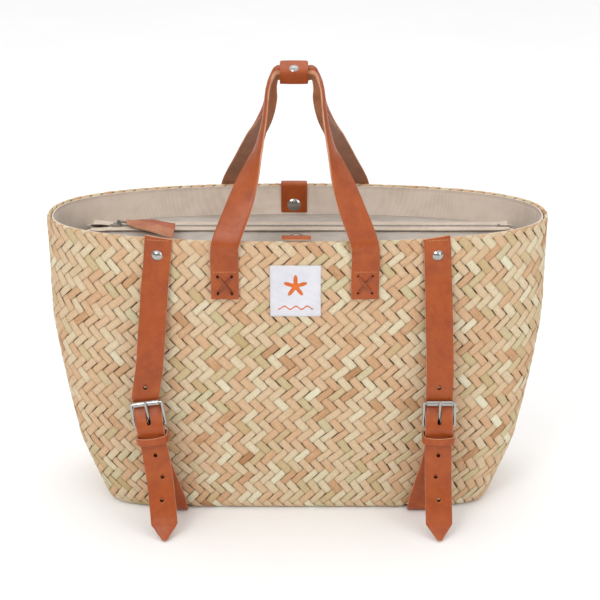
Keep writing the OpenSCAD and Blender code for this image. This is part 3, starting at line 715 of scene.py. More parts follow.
def basket_weave():
    """The plaited wall in two halves, the plaited base, and the inner layer behind them, which
    stands for the strips passing beneath and is painted dark brown as the shade in the gaps.
    """
    low, high = CORNER * (1 - math.pi / 2) - 8, RIM_END + 7
    rows = pattern_rows(low, high, DIAGONALS)

    def side_of(s, h):
        return ((s + LEAN * h) / AROUND_LENGTH) % 1.0

    front, back, rim = [], [], []
    for row in rows:
        s, h = row[0], row[1]
        t = side_of(s, h)
        if h > RIM_START - 12 or h < 14:
            rim.append(row)
        elif t < 0.25 or t >= 0.75:
            front.append(row)
        else:
            back.append(row)
    weave_floats("basket_weave_front", front, round_basket)
    weave_floats("basket_weave_back", back, round_basket)
    weave_floats("basket_weave_edges", rim, round_basket, (12, 5))

    def under(s, h, out):
        flat = np.stack([s, h, np.zeros_like(s)], -1)
        return np.stack([s, h, BASE_LIFT - out + sunk(flat)], -1)

    def on_base(x, y):
        rim_here = RIM_FRONT if y < 0 else RIM_BACK
        far = abs(x) > half_w(0) - CORNER - 6
        return not far and abs(y) <= wall_depth(x, 0.0, rim_here, CORNER + 5)

    across = math.ceil(BASE_HALF_W * 2 / ROW_STEP)
    flat = []
    for s, h, way, strand in pattern_rows(-BASE_EDGE, BASE_EDGE, across):
        flat.append((s - BASE_HALF_W, h, way, strand))
    weave_floats("basket_weave_base", flat, under, (6, 4), on_base)

    around = np.linspace(0, 1, 160, endpoint=False)
    levels = [(3.1, 16), (3.3, 10), (5.0, 6.2), (8.5, 3.4), (13, 2.4)]
    levels += [(z, 2.3) for z in range(24, 312, 24)]
    levels += [(RIM_Z - 4, 2.3), (RIM_Z - 2.6, 2.9), (RIM_Z - 3.4, 3.7)]
    levels += [(z, 4.0) for z in range(300, 12, -24)]
    levels += [(10, 4.6), (7, 6.6), (5.1, 10), (5.0, 16)]
    rings = [wall_ring(around, z, inset) for z, inset in levels]
    backing = make_mesh("basket_weave_backing", *ring_solid(rings), [BACKING])
    give(backing, "basket", "seagrass")
    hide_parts("basket_shell")


# ---------- Canvas liner ----------
def liner():
    """A sewn cloth bag: slack walls with soft upright folds, and a turned, stitched hem."""
    around = np.linspace(0, 1, 420, endpoint=False)
    hem = 13
    outer = [(LINER_FLOOR, 16), (LINER_FLOOR + 0.3, 11), (8, 7.6), (12, 5.2)]
    outer += [(z, LINER_OUT) for z in range(22, 290, 12)]
    hem_out = LINER_OUT + 0.5
    outer += [(HEM_TOP - hem - 2, LINER_OUT + 0.3), (HEM_TOP - hem, hem_out)]
    outer += [(HEM_TOP - 5, hem_out), (HEM_TOP - 0.6, hem_out), (HEM_TOP, hem_out + 0.4)]
    cloth = LINER_IN - LINER_OUT
    rings = []

    def slack(z):
        a = around * 2 * math.pi
        folds = 0.5 + 0.5 * noise1(9 * a + 1.2 * np.sin(z / 40), 2)
        folds = folds + 0.3 * (0.5 + 0.5 * noise1(a * 23 + z / 25, 3))
        grow = np.clip((z - 10) / 40, 0, 1)
        free = np.clip((HEM_TOP - z) / 40, 0.1, 1)
        return 2.2 * folds * free * grow if z > 12 else 0

    for z, inset in outer:
        rings.append(wall_ring(around, z, inset + slack(z)))
    for z, inset in outer[::-1]:
        thick = cloth + (0.35 if z > HEM_TOP - hem else 0)
        lift = cloth if z <= LINER_FLOOR + 0.3 else 0
        rings.append(wall_ring(around, z + lift, inset + thick + slack(z)))
    ob = ring_mesh("liner_cloth", rings, [LINER])
    give(ob, "basket", "canvas", "liner")
    seam = np.linspace(0, 1, 360, endpoint=False)
    line = wall_ring(seam, HEM_TOP - hem + 8, LINER_IN + 1.2)
    stitch_row("liner_stitches", line, UP, PALE_THREAD, "canvas", length=0.62,
               radius=0.22, closed=True)
    return ob


def stitch_row(name, line, up, material, slot, every=1, length=0.6, radius=0.3, closed=False):
    """A row of stitches: a short thread pad over each step of a line of points."""
    line = np.asarray(line, float)
    points, faces = [], []
    count = len(line) if closed else len(line) - 1
    for i in range(0, count, every):
        a, b = line[i], line[(i + 1) % len(line)]
        mid, d = (a + b) / 2, (b - a) * length / 2
        up_here = up[i] if np.ndim(up) > 1 else up
        side = unit(np.cross(d, up_here)) * radius
        out = unit(np.asarray(up_here, float))
        base = len(points)
        for f, grow in ((-1, 0.35), (-0.6, 0.95), (0, 1.1), (0.6, 0.95), (1, 0.35)):
            centre = mid + d * f
            for k in range(6):
                angle = k * math.pi / 3
                points.append(centre + side * grow * math.cos(angle)
                              + out * radius * grow * math.sin(angle))
        faces += grid_faces(5, 6, closed_cols=True, start=base)
        faces.append(tuple(base + k for k in range(5, -1, -1)))
        faces.append(tuple(base + 24 + k for k in range(6)))
    ob = make_mesh(name, points, faces, [material])
    return give(ob, "basket", slot)


# ---------- Zipped panel ----------
PANEL_DROP = 14
TAPE_W = 11
TAPE_T = 0.8
PANEL_T = 1.2
PULL_ROLL = 0.26
PULL_LIFT = 1.18
FRAY_THREADS = 26
PARTING = 3.4
PARTING_RUN = 15


def parting(x):
    """How far each side of the open zip lies from the middle beyond the slider."""
    f = np.clip((ZIP_OPEN_X - x) / PARTING_RUN, 0, 1)
    return PARTING * f * f * (3 - 2 * f)


def zip_strip(dir, rim):
    """One canvas strip from the liner's wall up to the zip tape, slack between its two seams."""
    side = "front" if dir < 0 else "back"
    edge_y = ZIP_Y + dir * (COIL_OFF + COIL_R + 3)
    xs = np.linspace(panel_low[0], panel_high[0], 150)
    share = np.concatenate([[0, 0.02], np.linspace(0.05, 0.96, 15), [0.985, 1.0]])
    wall_z = ZIP_Z - PANEL_DROP
    drop = TAPE_T / 2 + PANEL_T / 2
    rings = []
    for x in xs:
        far_y = dir * (wall_depth(x, wall_z, rim, LINER_IN) - LAY_GAP)
        y = edge_y + (far_y - edge_y) * share + dir * parting(x) * (1 - share)
        z = ZIP_Z - drop - PANEL_DROP * share
        belly = np.sin(math.pi * share) ** 0.8
        near_end = min(x - xs[0], xs[-1] - x)
        curl = math.exp(-near_end / 7)
        wave = 1.5 * math.sin(x / 27 + dir) + 0.9 * math.sin(x / 11.3 + 2 * dir)
        fold = 0.7 * np.sin(share * 9 + x / 17 + dir)
        z = z + belly * (-2.0 + 0.7 * wave + fold + 3.0 * curl * (0.6 + 0.4 * math.sin(x)))
        edge = 0.4 * math.exp(-near_end / 2)
        skew = (2.0 * noise1(share * 9, 4 + dir) * math.exp(-near_end / 5)
                * (1 if x < 0 else -1) * belly)
        line = np.stack([x + skew, y, z], -1)
        up = np.array([0, 0, PANEL_T / 2 * (1 - 0.4 * edge)])
        rings.append(np.concatenate([line + up, (line - up)[::-1]]))
    points, faces = ring_solid(rings)
    rows = [i // len(rings[0]) for i in range(len(faces))]
    slots = [1 if row < 1 or row > len(xs) - 3 else 0 for row in rows]
    ob = fix_normals(make_mesh(f"zip_strip_{side}", points, faces, [STRIP, FRAYED], slots))
    give(ob, "basket", "canvas", f"zip_panel_{side}")
    far = [dir * (wall_depth(x, wall_z, rim, LINER_IN) - LAY_GAP - 3) for x in xs]
    seam = np.stack([xs, far, np.full_like(xs, wall_z - drop + 1.5)], -1)
    stitch_row(f"zip_strip_stitches_{side}", seam, UP, PALE_THREAD, "canvas",
               radius=0.25)
    fray(f"zip_strip_fringe_{side}", xs, edge_y, dir, rim, drop)
    return ob


def fray(name, xs, edge_y, dir, rim, drop):
    """Loose threads along a strip's two raw ends."""
    points, faces = [], []
    for end, out in ((xs[0], -1), (xs[-1], 1)):
        far_y = dir * (wall_depth(end, ZIP_Z - PANEL_DROP, rim, LINER_IN) - LAY_GAP)
        for _ in range(FRAY_THREADS):
            f = rng.uniform(0.02, 0.96)
            y = edge_y + (far_y - edge_y) * f
            z = ZIP_Z - drop - PANEL_DROP * f + math.sin(math.pi * f) ** 0.8 * 0.9
            reach = rng.uniform(1.2, 3.8)
            tip = np.array([out * reach, rng.normal(0, 0.9), rng.uniform(-0.6, 1.8)])
            start = np.array([end - out * 1.2, y, z])
            base = len(points)
            for g in (0, 0.35, 0.7, 1):
                at = start + np.array([out * 1.2 * g, 0, 0]) + tip * g + np.array([0, 0, -g * g])
                r = 0.22 * (1 - 0.6 * g)
                for a in range(4):
                    points.append(at + r * np.array([0, math.cos(a * 1.571), math.sin(a * 1.571)]))
            faces += grid_faces(4, 4, closed_cols=True, start=base)
            faces.append((base + 3, base + 2, base + 1, base))
            faces.append((base + 12, base + 13, base + 14, base + 15))
    ob = make_mesh(name, points, faces, [FRAYED])
    give(ob, "basket", "canvas")


def zip_tapes():
    """Two ribbed tapes, each with its coil along the inner edge."""
    for dir, side in ((-1, "front"), (1, "back")):
        low, high = box_mm(f"zip_tape_{side}")
        xs = np.linspace(low[0], high[0], 300)
        inner = low[1] if dir > 0 else high[1]
        ribs = np.array([0, 0.3, 1.2, 1.4, 2.6, 2.8, 4.6, 6.6, 8.4, 8.6, 9.8, 10.0, 10.8, 11.0])
        raised = np.array([-0.2, 0, 0, 0.16, 0.16, 0, 0, 0, 0, 0.14, 0.14, 0, 0, -0.2])
        rings = []
        for x in xs:
            sway = 0.35 * math.sin(x / 31) + 0.15 * math.sin(x / 9)
            near_end = min(x - xs[0], xs[-1] - x)
            curl = 1.6 * math.exp(-near_end / 6)
            y = inner + dir * (ribs + parting(x))
            z = ZIP_Z + TAPE_T / 2 + raised + (sway * 0.4 + curl) * ribs / TAPE_W
            top = np.stack([np.full_like(y, x), y, z], -1)
            bottom = top.copy()
            bottom[:, 2] = z - TAPE_T - raised
            rings.append(np.concatenate([top, bottom[::-1]]))
        ob = ring_mesh(f"zip_tape_{side}_cloth", rings, [TAPE])
        give(ob, "basket", "zip_tape", f"zip_tape_{side}")
        stitches = np.stack([xs, inner + dir * (9.2 + parting(xs)),
                             np.full_like(xs, ZIP_Z + TAPE_T / 2 + 0.3)], -1)
        stitch_row(f"zip_tape_stitches_{side}", stitches, UP, PALE_THREAD, "zip_tape",
                   every=2, length=1.1, radius=0.22)
        coil(dir, side)


def coil(dir, side):
    """A nylon coil: slanted loops that stand up along the tape's edge."""
    low, high = box_mm(f"zip_coil_{side}")
    pitch = 1.5
    count = int((high[0] - low[0] - 1) / pitch)
    rings = []
    steps = 5
    for i in range(count * steps + 1):
        x = low[0] + 0.4 + i * pitch / steps
        swell = 0.72 + 0.28 * abs(math.sin(math.pi * i / steps))
        a = np.linspace(0, 2 * math.pi, 9)[:-1]
        shift = 0.35 * dir * math.cos(math.pi * i / steps)
        y0 = ZIP_Y + dir * (COIL_OFF + parting(x))
        rings.append(np.stack([x + 0.25 * np.sin(a), y0 + shift * 0.3 + COIL_R * swell * np.cos(a),
                               ZIP_Z + COIL_R * swell * np.sin(a)], -1))
    ob = ring_mesh(f"zip_coil_{side}_loops", rings, [COIL])
    give(ob, "basket", "zip_coil", f"zip_coil_{side}")


def zip_pull():
    """A leather strip folded through the link's ring, pinched at the ring and wider at its tip,
    with a ridge along its middle and a slanted cut end."""
    ring_place = joint_place("zip_pull_swing")
    turn = math.radians(-32)
    ahead = np.array([math.cos(turn), math.sin(turn), 0])
    side = np.array([-ahead[1], ahead[0], 0])
    #       along, half width, ridge height, thickness
    rows = smooth_rows([
        (-1.7, 1.7, 0.2, 3.0), (1.5, 2.2, 0.4, 3.3), (4, 3.3, 0.9, 3.3), (9, 4.9, 1.4, 3.2),
        (17, 6.8, 1.5, 3.1), (30, 8.4, 1.5, 3.0), (44, 9.6, 1.4, 2.9), (56, 10.4, 1.2, 2.8),
        (62, 10.8, 1.1, 2.8)], 4)
    slant = 6.5
    shares = np.linspace(-1, 1, 11)
    rings = []

    def between(a, b, f):
        return a * (1 - f) + b * f

    def edge(a, b, out):
        """The notch between the strip's two plies, from the corner a to the corner b."""
        mid, inner = (a + b) / 2 + out * 0.5, (a + b) / 2 - out * 0.5
        return [between(a, b, 0.2) + out * 0.4, between(mid, a, 0.2) - out * 0.1, inner,
                between(mid, b, 0.2) - out * 0.1, between(a, b, 0.8) + out * 0.4]

    for along, half, ridge, thick in rows:
        reach = np.clip((along - 6) / 24, 0, 1)
        e = shares * half
        lengthen = -slant * np.clip((along - 20) / 42, 0, 1) * shares
        wave = 0.5 * math.sin(along / 9) * shares
        up = ridge * (1 - np.abs(shares)) + wave - 0.0045 * np.maximum(0, along - 10) ** 1.6
        up = up + PULL_ROLL * reach * (e + PULL_LIFT * half)
        base = ring_place + np.outer(along + lengthen, ahead) + np.outer(e, side)
        top, low = (base + np.outer(up + h, UP) for h in (thick / 2, -thick / 2))
        right, left = edge(top[-1], low[-1], side), edge(low[0], top[0], -side)
        rings.append(np.concatenate([top, right, low[::-1], left]))
    points, faces = ring_solid(rings)
    n = len(shares)
    # The lower half of the pull's top face takes the painted-light copy of the grain; the upper
    # half keeps the plain grain.
    slots = []
    for i in range(len(faces)):
        k = i % len(rings[0])
        if i >= len(faces) - 2:
            slots.append(1)
        elif k < n - 1:
            slots.append(0 if k >= (n - 1) // 2 else 2)
        elif n + 4 <= k < 2 * n + 4:
            slots.append(0)
        else:
            slots.append(1)
    ob = fix_normals(make_mesh("zip_pull_strip", points, faces, [GRAIN, EDGE, GRAIN_LIT], slots))
    give(ob, "zip_pull", "leather", "zip_pull_leather")


# ---------- Leather ribbons ----------
ACROSS = np.linspace(-1, 1, 11)


def band_frames(path, side, turns):
    """Directions across and out of a band at each point of its path."""
    along = unit(np.gradient(path, axis=0))
    side = np.broadcast_to(side, path.shape)
    flat = unit(side - np.sum(side * along, -1, keepdims=True) * along)
    face = np.cross(along, flat)
    a = np.radians(turns)[:, None]
    across = flat * np.cos(a) + face * np.sin(a)
    return across, np.cross(along, across)


def ribbon_ring(place, across, out, width, thick, strip_w, crown=0.25):
    """One rounded cross-section of a leather band. A strip wider than the band curls round its
    suede side. The ring runs over the grain, round an edge, and back over the suede."""
    half = width / 2
    e = min(0.9, thick * 0.34) / half
    a = ACROSS * (1 - e)
    ratio = min(1.0, width / strip_w)
    bend = 0.0
    if ratio < 0.995:
        bend = math.sqrt(max(0.0, 6 * (1 - ratio)))
        for _ in range(4):
            bend -= (math.sin(bend) / bend - ratio) / (
                (bend * math.cos(bend) - math.sin(bend)) / bend**2)
    def at(share, height):
        if bend < 0.05:
            return place + across * (share * half)[:, None] + out * height[:, None]
        r = strip_w / 2 / bend
        x = r * np.sin(share * bend)
        y = r * (np.cos(share * bend) - 1) + r * (1 - math.cos(bend)) / 2
        n = across * np.sin(share * bend)[:, None] + out * np.cos(share * bend)[:, None]
        return place + across * x[:, None] + out * y[:, None] + n * height[:, None]
    top = at(a, thick / 2 + crown * (1 - a**2))
    low = at(a[::-1], np.full_like(a, -thick / 2))
    edge = np.array([1 - e * 0.3, 1.0, 1 - e * 0.3])
    heights = np.array([0.34, 0.0, -0.34]) * thick
    return np.concatenate([top, at(edge, heights), low, at(-edge, -heights)])


def band(x, y, z, turn=0, width=STRAP_W, thick=STRAP_T, strip_w=None):
    """One row of a band: place, width, thickness, turn, and the width of the flat strip."""
    return [x, y, z, width, thick, turn, strip_w or width]


def ribbon_slots(count, cols, ends=2):
    """Grain, edge or suede for each face between ribbon rings. The last faces are the cut ends."""
    n = len(ACROSS)
    slots = []
    for i in range(count):
        k = i % cols
        if i >= count - ends:
            slots.append(1)
        elif k < n or k == 2 * n + 5:
            slots.append(0)
        elif n + 2 <= k < 2 * n + 3:
            slots.append(2)
        else:
            slots.append(1)
    return slots


def run_along(path):
    """Length along a path up to each of its points."""
    return np.concatenate([[0], np.cumsum(np.linalg.norm(np.diff(path, axis=0), axis=1))])


def ribbon(name, rows, side, grain=1, crown=0.25, creases=0.18, seed=0.0):
    """A closed leather band through rows of x, y, z, width, thickness, turn and strip width.
    grain is 1 where the smooth side faces out of the band's frame, and -1 where it faces back."""
    rows = np.array(rows, float)
    path = rows[:, :3]
    across, out = band_frames(path, side, rows[:, 5])
    out, across = out * grain, across * grain
    run = run_along(path)
    rings = []
    for i, row in enumerate(rows):
        wobble = creases * noise1(run[i] / 13.0, seed)
        rings.append(ribbon_ring(path[i] + out[i] * wobble, across[i], out[i], row[3], row[4],
                                 max(row[3], row[6]), crown))
    points, faces = ring_solid(rings)
    slots = ribbon_slots(len(faces), len(rings[0]))
    return fix_normals(make_mesh(name, points, faces, LEATHER, slots))


def round_hole(centre, axis, radius, reach=12):
    """A round cutter through a point."""
    axis = unit(np.array(axis, float))
    u = unit(np.cross(axis, (0.3, 0.5, 0.81)))
    w = np.cross(axis, u)
    a = np.linspace(0, 2 * math.pi, 19)[:-1]
    ring = np.outer(np.cos(a), u) * radius + np.outer(np.sin(a), w) * radius
    return ring_solid([centre + ring - axis * reach, centre + ring + axis * reach])


def long_hole(centre, across, up, half_w_mm, half_h, reach=9):
    """A cutter with round ends, long in the direction up."""
    across, up = np.array(across, float), np.array(up, float)
    axis = np.cross(across, up)
    a = np.linspace(0, math.pi, 9)
    arc = np.outer(np.cos(a), across) * half_w_mm
    rise = np.outer(np.sin(a), up) * half_w_mm
    straight = up * (half_h - half_w_mm)
    ring = np.concatenate([arc + rise + straight, -arc - rise - straight])
    return ring_solid([centre + ring - axis * reach, centre + ring + axis * reach])


# ---------- Handles ----------
GRIP_OFF = 3.4
GRIP_W = 6.2
GRIP_H = 10.2


def grip_place(dir):
    return (WRAP_MID[1] + dir * GRIP_OFF * math.cos(WRAP_TILT),
            WRAP_MID[2] + dir * GRIP_OFF * math.sin(WRAP_TILT))


def end_depth(rim, z):
    """Depth of a sewn end's middle plane, clear of the wall over the end's whole width."""
    return float(wall_depth(HANDLE_SPREAD + HANDLE_MID - STRAP_W / 2, z, rim)) + STRAP_OFF


def handle(dir, rim):
    """One strap from its left sewn end over the grip to its right sewn end."""
    side = "front" if dir < 0 else "back"
    gy, gz = grip_place(dir)
    c, rim_c, top_c = end_depth(rim, SEAM_Z), end_depth(rim, RIM_Z), dir * gy
    lean = math.degrees(math.atan2(rim_c - top_c, gz - RIM_Z))
    tilt = math.degrees(WRAP_TILT)
    grip_turn = 180 - lean - tilt if dir < 0 else 90 + tilt - lean
    fold_w, fold_t = (GRIP_H, GRIP_W) if dir < 0 else (GRIP_W, GRIP_H)

    def at(f):
        return dir * (rim_c + (top_c - rim_c) * f)

    turns = (20, 62, 98, 112, 116) if dir < 0 else (14, 38, 58, 74, 80)
    end = -HANDLE_SPREAD
    rows = [band(end, dir * end_depth(rim, z), z) for z in (END_BOTTOM, 264, 276, SEAM_Z)]
    rows += [
        band(end, dir * (c + 0.5), 303),
        band(end + 2.5, dir * (rim_c + 0.6), RIM_Z + 2, 4),
        band(-53, at(0.24), 354, turns[0]),
        band(-39.5, at(0.51), 392, turns[1]),
        band(-28.5, at(0.72), 424, turns[2], 25, STRAP_T, STRAP_W),
        band(-25, at(0.86), 443, turns[3], 21, 2.8, 26),
        band(-23.6, at(0.925), 452, turns[4], 13.5, 3.6, 19),
        band(-20.4, at(0.98), gz - 2.2, (turns[4] + 2 * grip_turn) / 3, 10, 4.6, 11.5),
        band(-17.2, gy, gz, grip_turn, fold_w - 0.4, fold_t - 0.4, fold_w),
    ]
    rows += [band(x, gy, gz, grip_turn, fold_w, fold_t) for x in (-12, -6, 0)]
    half = smooth_rows(rows, 6)
    half[:, 5] *= dir
    angle = -dir * math.radians(lean)
    normal = np.array([0, math.cos(angle), -math.sin(angle)])
    along = unit(np.gradient(half[:, :3], axis=0))
    sides = unit(np.cross(normal, along))
    across, out = band_frames(half[:, :3], sides, half[:, 5])
    out, across = out * dir, across * dir
    run = run_along(half[:, :3])
    rings = []
    for i, row in enumerate(half):
        free = np.clip((row[2] - 300) / 40, 0, 1) * np.clip((455 - row[2]) / 10, 0, 1)
        wobble = 0.22 * noise1(run[i] / 15, 5 + dir) * free
        rings.append(ribbon_ring(half[i, :3] + out[i] * wobble, across[i], out[i], row[3], row[4],
                                 max(row[3], row[6]), 0.25))
    mirror = []
    n = len(ACROSS)
    for ring in rings[-2::-1]:
        flipped = ring * np.array([-1, 1, 1])
        flipped = np.concatenate([flipped[:n][::-1], flipped[2 * n + 3:][::-1],
                                  flipped[n + 3:2 * n + 3][::-1], flipped[n:n + 3][::-1]])
        mirror.append(flipped)
    points, faces = ring_solid(rings + mirror)
    points = points + np.array([HANDLE_MID, 0, 0])
    slots = ribbon_slots(len(faces), len(rings[0]))
    ob = fix_normals(make_mesh(f"handle_{side}", points, faces, LEATHER, slots))
    lace_places(dir, rim, lambda place, axis: cut(ob, *round_hole(place, axis, 1.25, 4), HOLE_SHADE))
    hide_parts(f"handle_{side}_strap", f"handle_{side}_ends")
    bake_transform(ob)
    for s in (-1, 1):
        x0 = HANDLE_MID + s * HANDLE_SPREAD
        xs = np.linspace(x0 - 11.5, x0 + 11.5, 9)
        z = 285.6
        y = dir * (end_depth(rim, z) + STRAP_T / 2 + 0.25 - 0.12 * ((xs - x0) / 11.5) ** 2)
        row = np.stack([xs, y, np.full_like(xs, z)], -1)
        stitch_row(f"handle_{side}_stitches_{'left' if s < 0 else 'right'}", row,
                   np.array([0, dir * 1.0, 0]), THREAD, "leather", length=0.62, radius=0.42)


LACE_X = 7
LACE_Z = (262.5, 281)


def lace_places(dir, rim, use):
    for s in (-1, 1):
        for x in (-LACE_X, LACE_X):
            for z in LACE_Z:
                place = np.array([HANDLE_MID + s * HANDLE_SPREAD + x, dir * end_depth(rim, z), z])
                use(place, (0, 1, 0))


THONG_W = 2.7
THONG_T = 1.5


def thong(start, end, out, hump, twist, steps=16):
    """A flat lace from hole to hole, dipping into each and lifting by hump at its middle."""
    start, end = np.array(start, float), np.array(end, float)
    ahead = unit(end - start)
    over = unit(np.cross(ahead, out))
    a = np.linspace(0, 2 * math.pi, 11)[:-1]
    flat = np.sign(np.cos(a)) * np.abs(np.cos(a)) ** 0.6
    rings = []
    for i in range(steps + 1):
        f = i / steps
        into = 2.2 * (max(0, 0.1 - f) / 0.1 + max(0, f - 0.9) / 0.1)
        lift = hump * math.sin(math.pi * f) ** 0.7 - into
        centre = start + (end - start) * f + out * lift
        w = THONG_W / 2 * (1 - 0.35 * min(1, into / 2)) * (1 + 0.06 * math.sin(7 * f))
        roll = twist * math.sin(2 * math.pi * f)
        u = over * math.cos(roll) + out * math.sin(roll)
        n = np.cross(ahead, u)
        n = n if np.dot(n, out) > 0 else -n
        rings.append(centre + np.outer(flat * w, u) + np.outer(np.sin(a) * THONG_T / 2, n))
    return rings


def lacing(dir, rim):
    """Crossed thongs over each sewn end."""
    side = "front" if dir < 0 else "back"
    points, faces = [], []
    for s in (-1, 1):
        x0 = HANDLE_MID + s * HANDLE_SPREAD
        slope = math.atan2(end_depth(rim, LACE_Z[1]) - end_depth(rim, LACE_Z[0]),
                           LACE_Z[1] - LACE_Z[0])
        out = np.array([0, dir * math.cos(slope), -math.sin(slope)])
        for over, way in ((0.55, 1), (1.5, -1)):
            ends = []
            for z, x in ((LACE_Z[0], -way * LACE_X), (LACE_Z[1], way * LACE_X)):
                y = dir * (end_depth(rim, z) + STRAP_T / 2 + 0.55)
                ends.append((x0 + x, y, z))
            p, f = ring_solid(thong(*ends, out, over, 0.25 * way))
            base = len(points)
            points.extend(p)
            faces.extend([tuple(base + i for i in g) for g in f])
    ob = fix_normals(make_mesh(f"lacing_{side}_thongs", points, faces, [LACE]))
    give(ob, "basket", "lace_leather", f"lacing_{side}")


# ---------- Handle wrap ----------
WRAP_LEN = 28.5
PLY_T = 2.0
WRAP_FRONT = -GRIP_OFF - GRIP_W / 2 - 0.3
WRAP_LOW = -GRIP_H / 2 - 0.3
WRAP_HIGH = GRIP_H / 2 + 0.3
FLAP_LOW = WRAP_HIGH + PLY_T + 0.4


def wrap_point(x, y, z):
    c, s = math.cos(WRAP_TILT), math.sin(WRAP_TILT)
    return [WRAP_MID[0] + x, WRAP_MID[1] + y * c - z * s, WRAP_MID[2] + y * s + z * c]


def wrap():
    """The wrap's outer ply, from under the grips up their front and over into the snapped flap."""
    f, m = WRAP_FRONT - PLY_T / 2, WRAP_LOW - PLY_T / 2
    top = FLAP_LOW + PLY_T / 2
    w = WRAP_LEN
    outline = [
        (-0.4, m, w - 1.0), (-2.5, m, w), (-5.2, m, w), (f + 0.7, m + 0.25, w), (f, m + 1.2, w),
        (f - 0.1, m + 4, w), (f - 0.25, 0.5, w), (f - 0.1, top - 4.2, w), (f + 0.05, top - 1.5, w),
        (f + 0.9, top - 0.3, w), (f + 2.6, top + 0.15, w), (-2.5, top + 0.3, w), (2, top + 0.15, w),
        (5.2, top, w), (7.0, top - 0.05, w - 0.2), (7.9, top - 0.1, w - 0.7),
        (8.3, top - 0.15, w - 2.6),
    ]
    rows = []
    for y, z, width in outline:
        rows.append(band(*wrap_point(0, y, z), 0, width, PLY_T))
    ob = ribbon("handle_wrap", smooth_rows(rows, 4), RIGHT, grain=-1, crown=0.3, creases=0.12,
                seed=7)
    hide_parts("wrap_body", "wrap_flap")
    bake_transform(ob)
    inner = []
    for y in (f + 1.1, f + 1.8, -4, -1.5, -0.5):
        inner.append(band(*wrap_point(0, y, WRAP_HIGH + PLY_T / 2), 0,
                          w - (1.2 if y < -6 else 0.4), PLY_T - 0.2, w))
    inner = ribbon("handle_wrap_inner_ply", smooth_rows(inner, 3), RIGHT, grain=-1, crown=0.0,
                   creases=0.0)
    give(inner, "handle_front", "leather")


# ---------- Buckled straps ----------
# Where each side's groove, rivet and lower bar lie, the lean of its buckle, and its tail's places
Side = namedtuple("Side", "groove rivet bar lean tail")
SIDES = {
    "left": Side(-132, -139.5, -152, math.radians(-8), (-147.6, -143.8, -141, -139.4, -138.8)),
    "right": Side(132, 139.5, 146, 0.0, (146.3, 147.2, 148, 148.2, 148.2)),
}


def lean_x(side, z):
    """The middle of a leaning buckle and its strap at the height z."""
    return side.bar + math.tan(side.lean) * (z - BAR_Z)


def buckle_axes(side):
    """Up and right in the plane of a leaning buckle."""
    c, s = math.cos(side.lean), math.sin(side.lean)
    return np.array([s, 0, c]), np.array([c, 0, -s])


def rest_y(x, z):
    return -(float(wall_depth(x, z, RIM_FRONT)) + STRAP_OFF)


def strap(side):
    """The long strap from the rim, behind the roller, over the lower bar and down to the floor."""
    s = SIDES[side]
    rx, bx, tail = s.rivet, s.bar, s.tail
    ahead, behind = (float(wall_depth(rx + d, RIVET_Z, RIM_FRONT)) for d in (5, -5))
    turn = math.degrees(math.atan2(ahead - behind, 10))
    sx = 1 if bx > 0 else -1
    w = STRAP_W
    rows = [
        band(rx - sx * 2, rest_y(rx, RIM_Z) - 0.2, RIM_Z + 2, turn),
        band(rx - sx * 1, rest_y(rx, 308) - 0.2, 310, turn),
        band(rx, rest_y(rx, RIVET_Z) - 0.1, RIVET_Z, turn),
        band(rx + (bx - rx) * 0.12, -87.4, 285, turn),
        band(rx + (bx - rx) * 0.3, -88.7, 266, turn * 0.8),
        band(rx + (bx - rx) * 0.6, -93.1, 226, turn * 0.4),
        band(rx + (bx - rx) * 0.95, -97.4, 180),
        band(lean_x(s, ROLLER_Z + 6), BUCKLE_Y + BEHIND_ROLLER, ROLLER_Z + 6),
        band(lean_x(s, ROLLER_Z - 3.5), BUCKLE_Y + BEHIND_ROLLER - 0.1, ROLLER_Z - 3.5),
        band(lean_x(s, ROLLER_Z - 13.4), BUCKLE_Y - 1.5, ROLLER_Z - 13.4),
        band(bx, BUCKLE_Y - TAIL_OFF, BAR_Z),
        band(lean_x(s, KEEPER_Z), BUCKLE_Y - TAIL_OFF + 1.4, KEEPER_Z),
        band(tail[0], BUCKLE_Y - TAIL_OFF + 1.6, 88),
        band(tail[1], -112, 58),
        band(tail[2], -120.5, 30),
        band(tail[3], -128.3, 14.6),
        band((tail[3] + tail[4]) / 2, -132.6, 9.1),
        band(tail[4], -137, 4.6),
        band(tail[4], -139.8, 2.0),
    ]
    fine = smooth_rows(rows, 7)
    run = run_along(fine[:, :3])
    loose = np.clip((fine[:, 2] - 150) / 30, 0, 1) * np.clip((280 - fine[:, 2]) / 30, 0, 1)
    fine[:, 1] -= loose * 0.7 * (1 + noise1(run / 17, 9 + sx))
    fine[:, 5] += loose * 2.0 * noise1(run / 23, 12 + sx)
    to_tip = run[-1] - run
    fine[:, 3] = np.minimum(fine[:, 3], TIP_END_W + to_tip * (w - TIP_END_W) / TIP_LEN)
    fine[:, 6] = fine[:, 3]
    ob = ribbon(f"strap_{side}_leather", fine, RIGHT, crown=0.3, creases=0.25,
                seed=2 + sx)
    holes = [(lean_x(s, 157) + 0.1 * (rx - bx), 160), (tail[0], 87), (tail[1] * 0.98, 63),
             ((tail[1] + 2 * tail[2]) / 3, 39)]
    for x, z in holes:
        y = float(np.interp(-z, -fine[:, 2], fine[:, 1]))
        cut(ob, *round_hole(np.array([x, y, z]), (0, 1, 0.2), 2.0, 5), HOLE_SHADE)
    up, right = buckle_axes(s)
    slot_mid = np.array([bx, BUCKLE_Y - 2.5, BAR_Z]) + up * 10.1
    cut(ob, *long_hole(slot_mid, right, up, 2.1, 6.4), HOLE_SHADE)
    give(ob, "basket", "leather", f"strap_{side}")
    off = np.linspace(-0.82, 0.82, 9) * w / 2
    y = rest_y(rx, 311) - 0.2 - STRAP_T / 2 - 0.28 - math.tan(math.radians(turn)) * off
    row = np.stack([rx - sx * 1.2 + off, y, np.full_like(off, RIM_Z - 0.8)], -1)
    stitch_row(f"strap_{side}_stitches", row, np.array([0, -1.0, 0]), THREAD, "leather",
               radius=0.42)


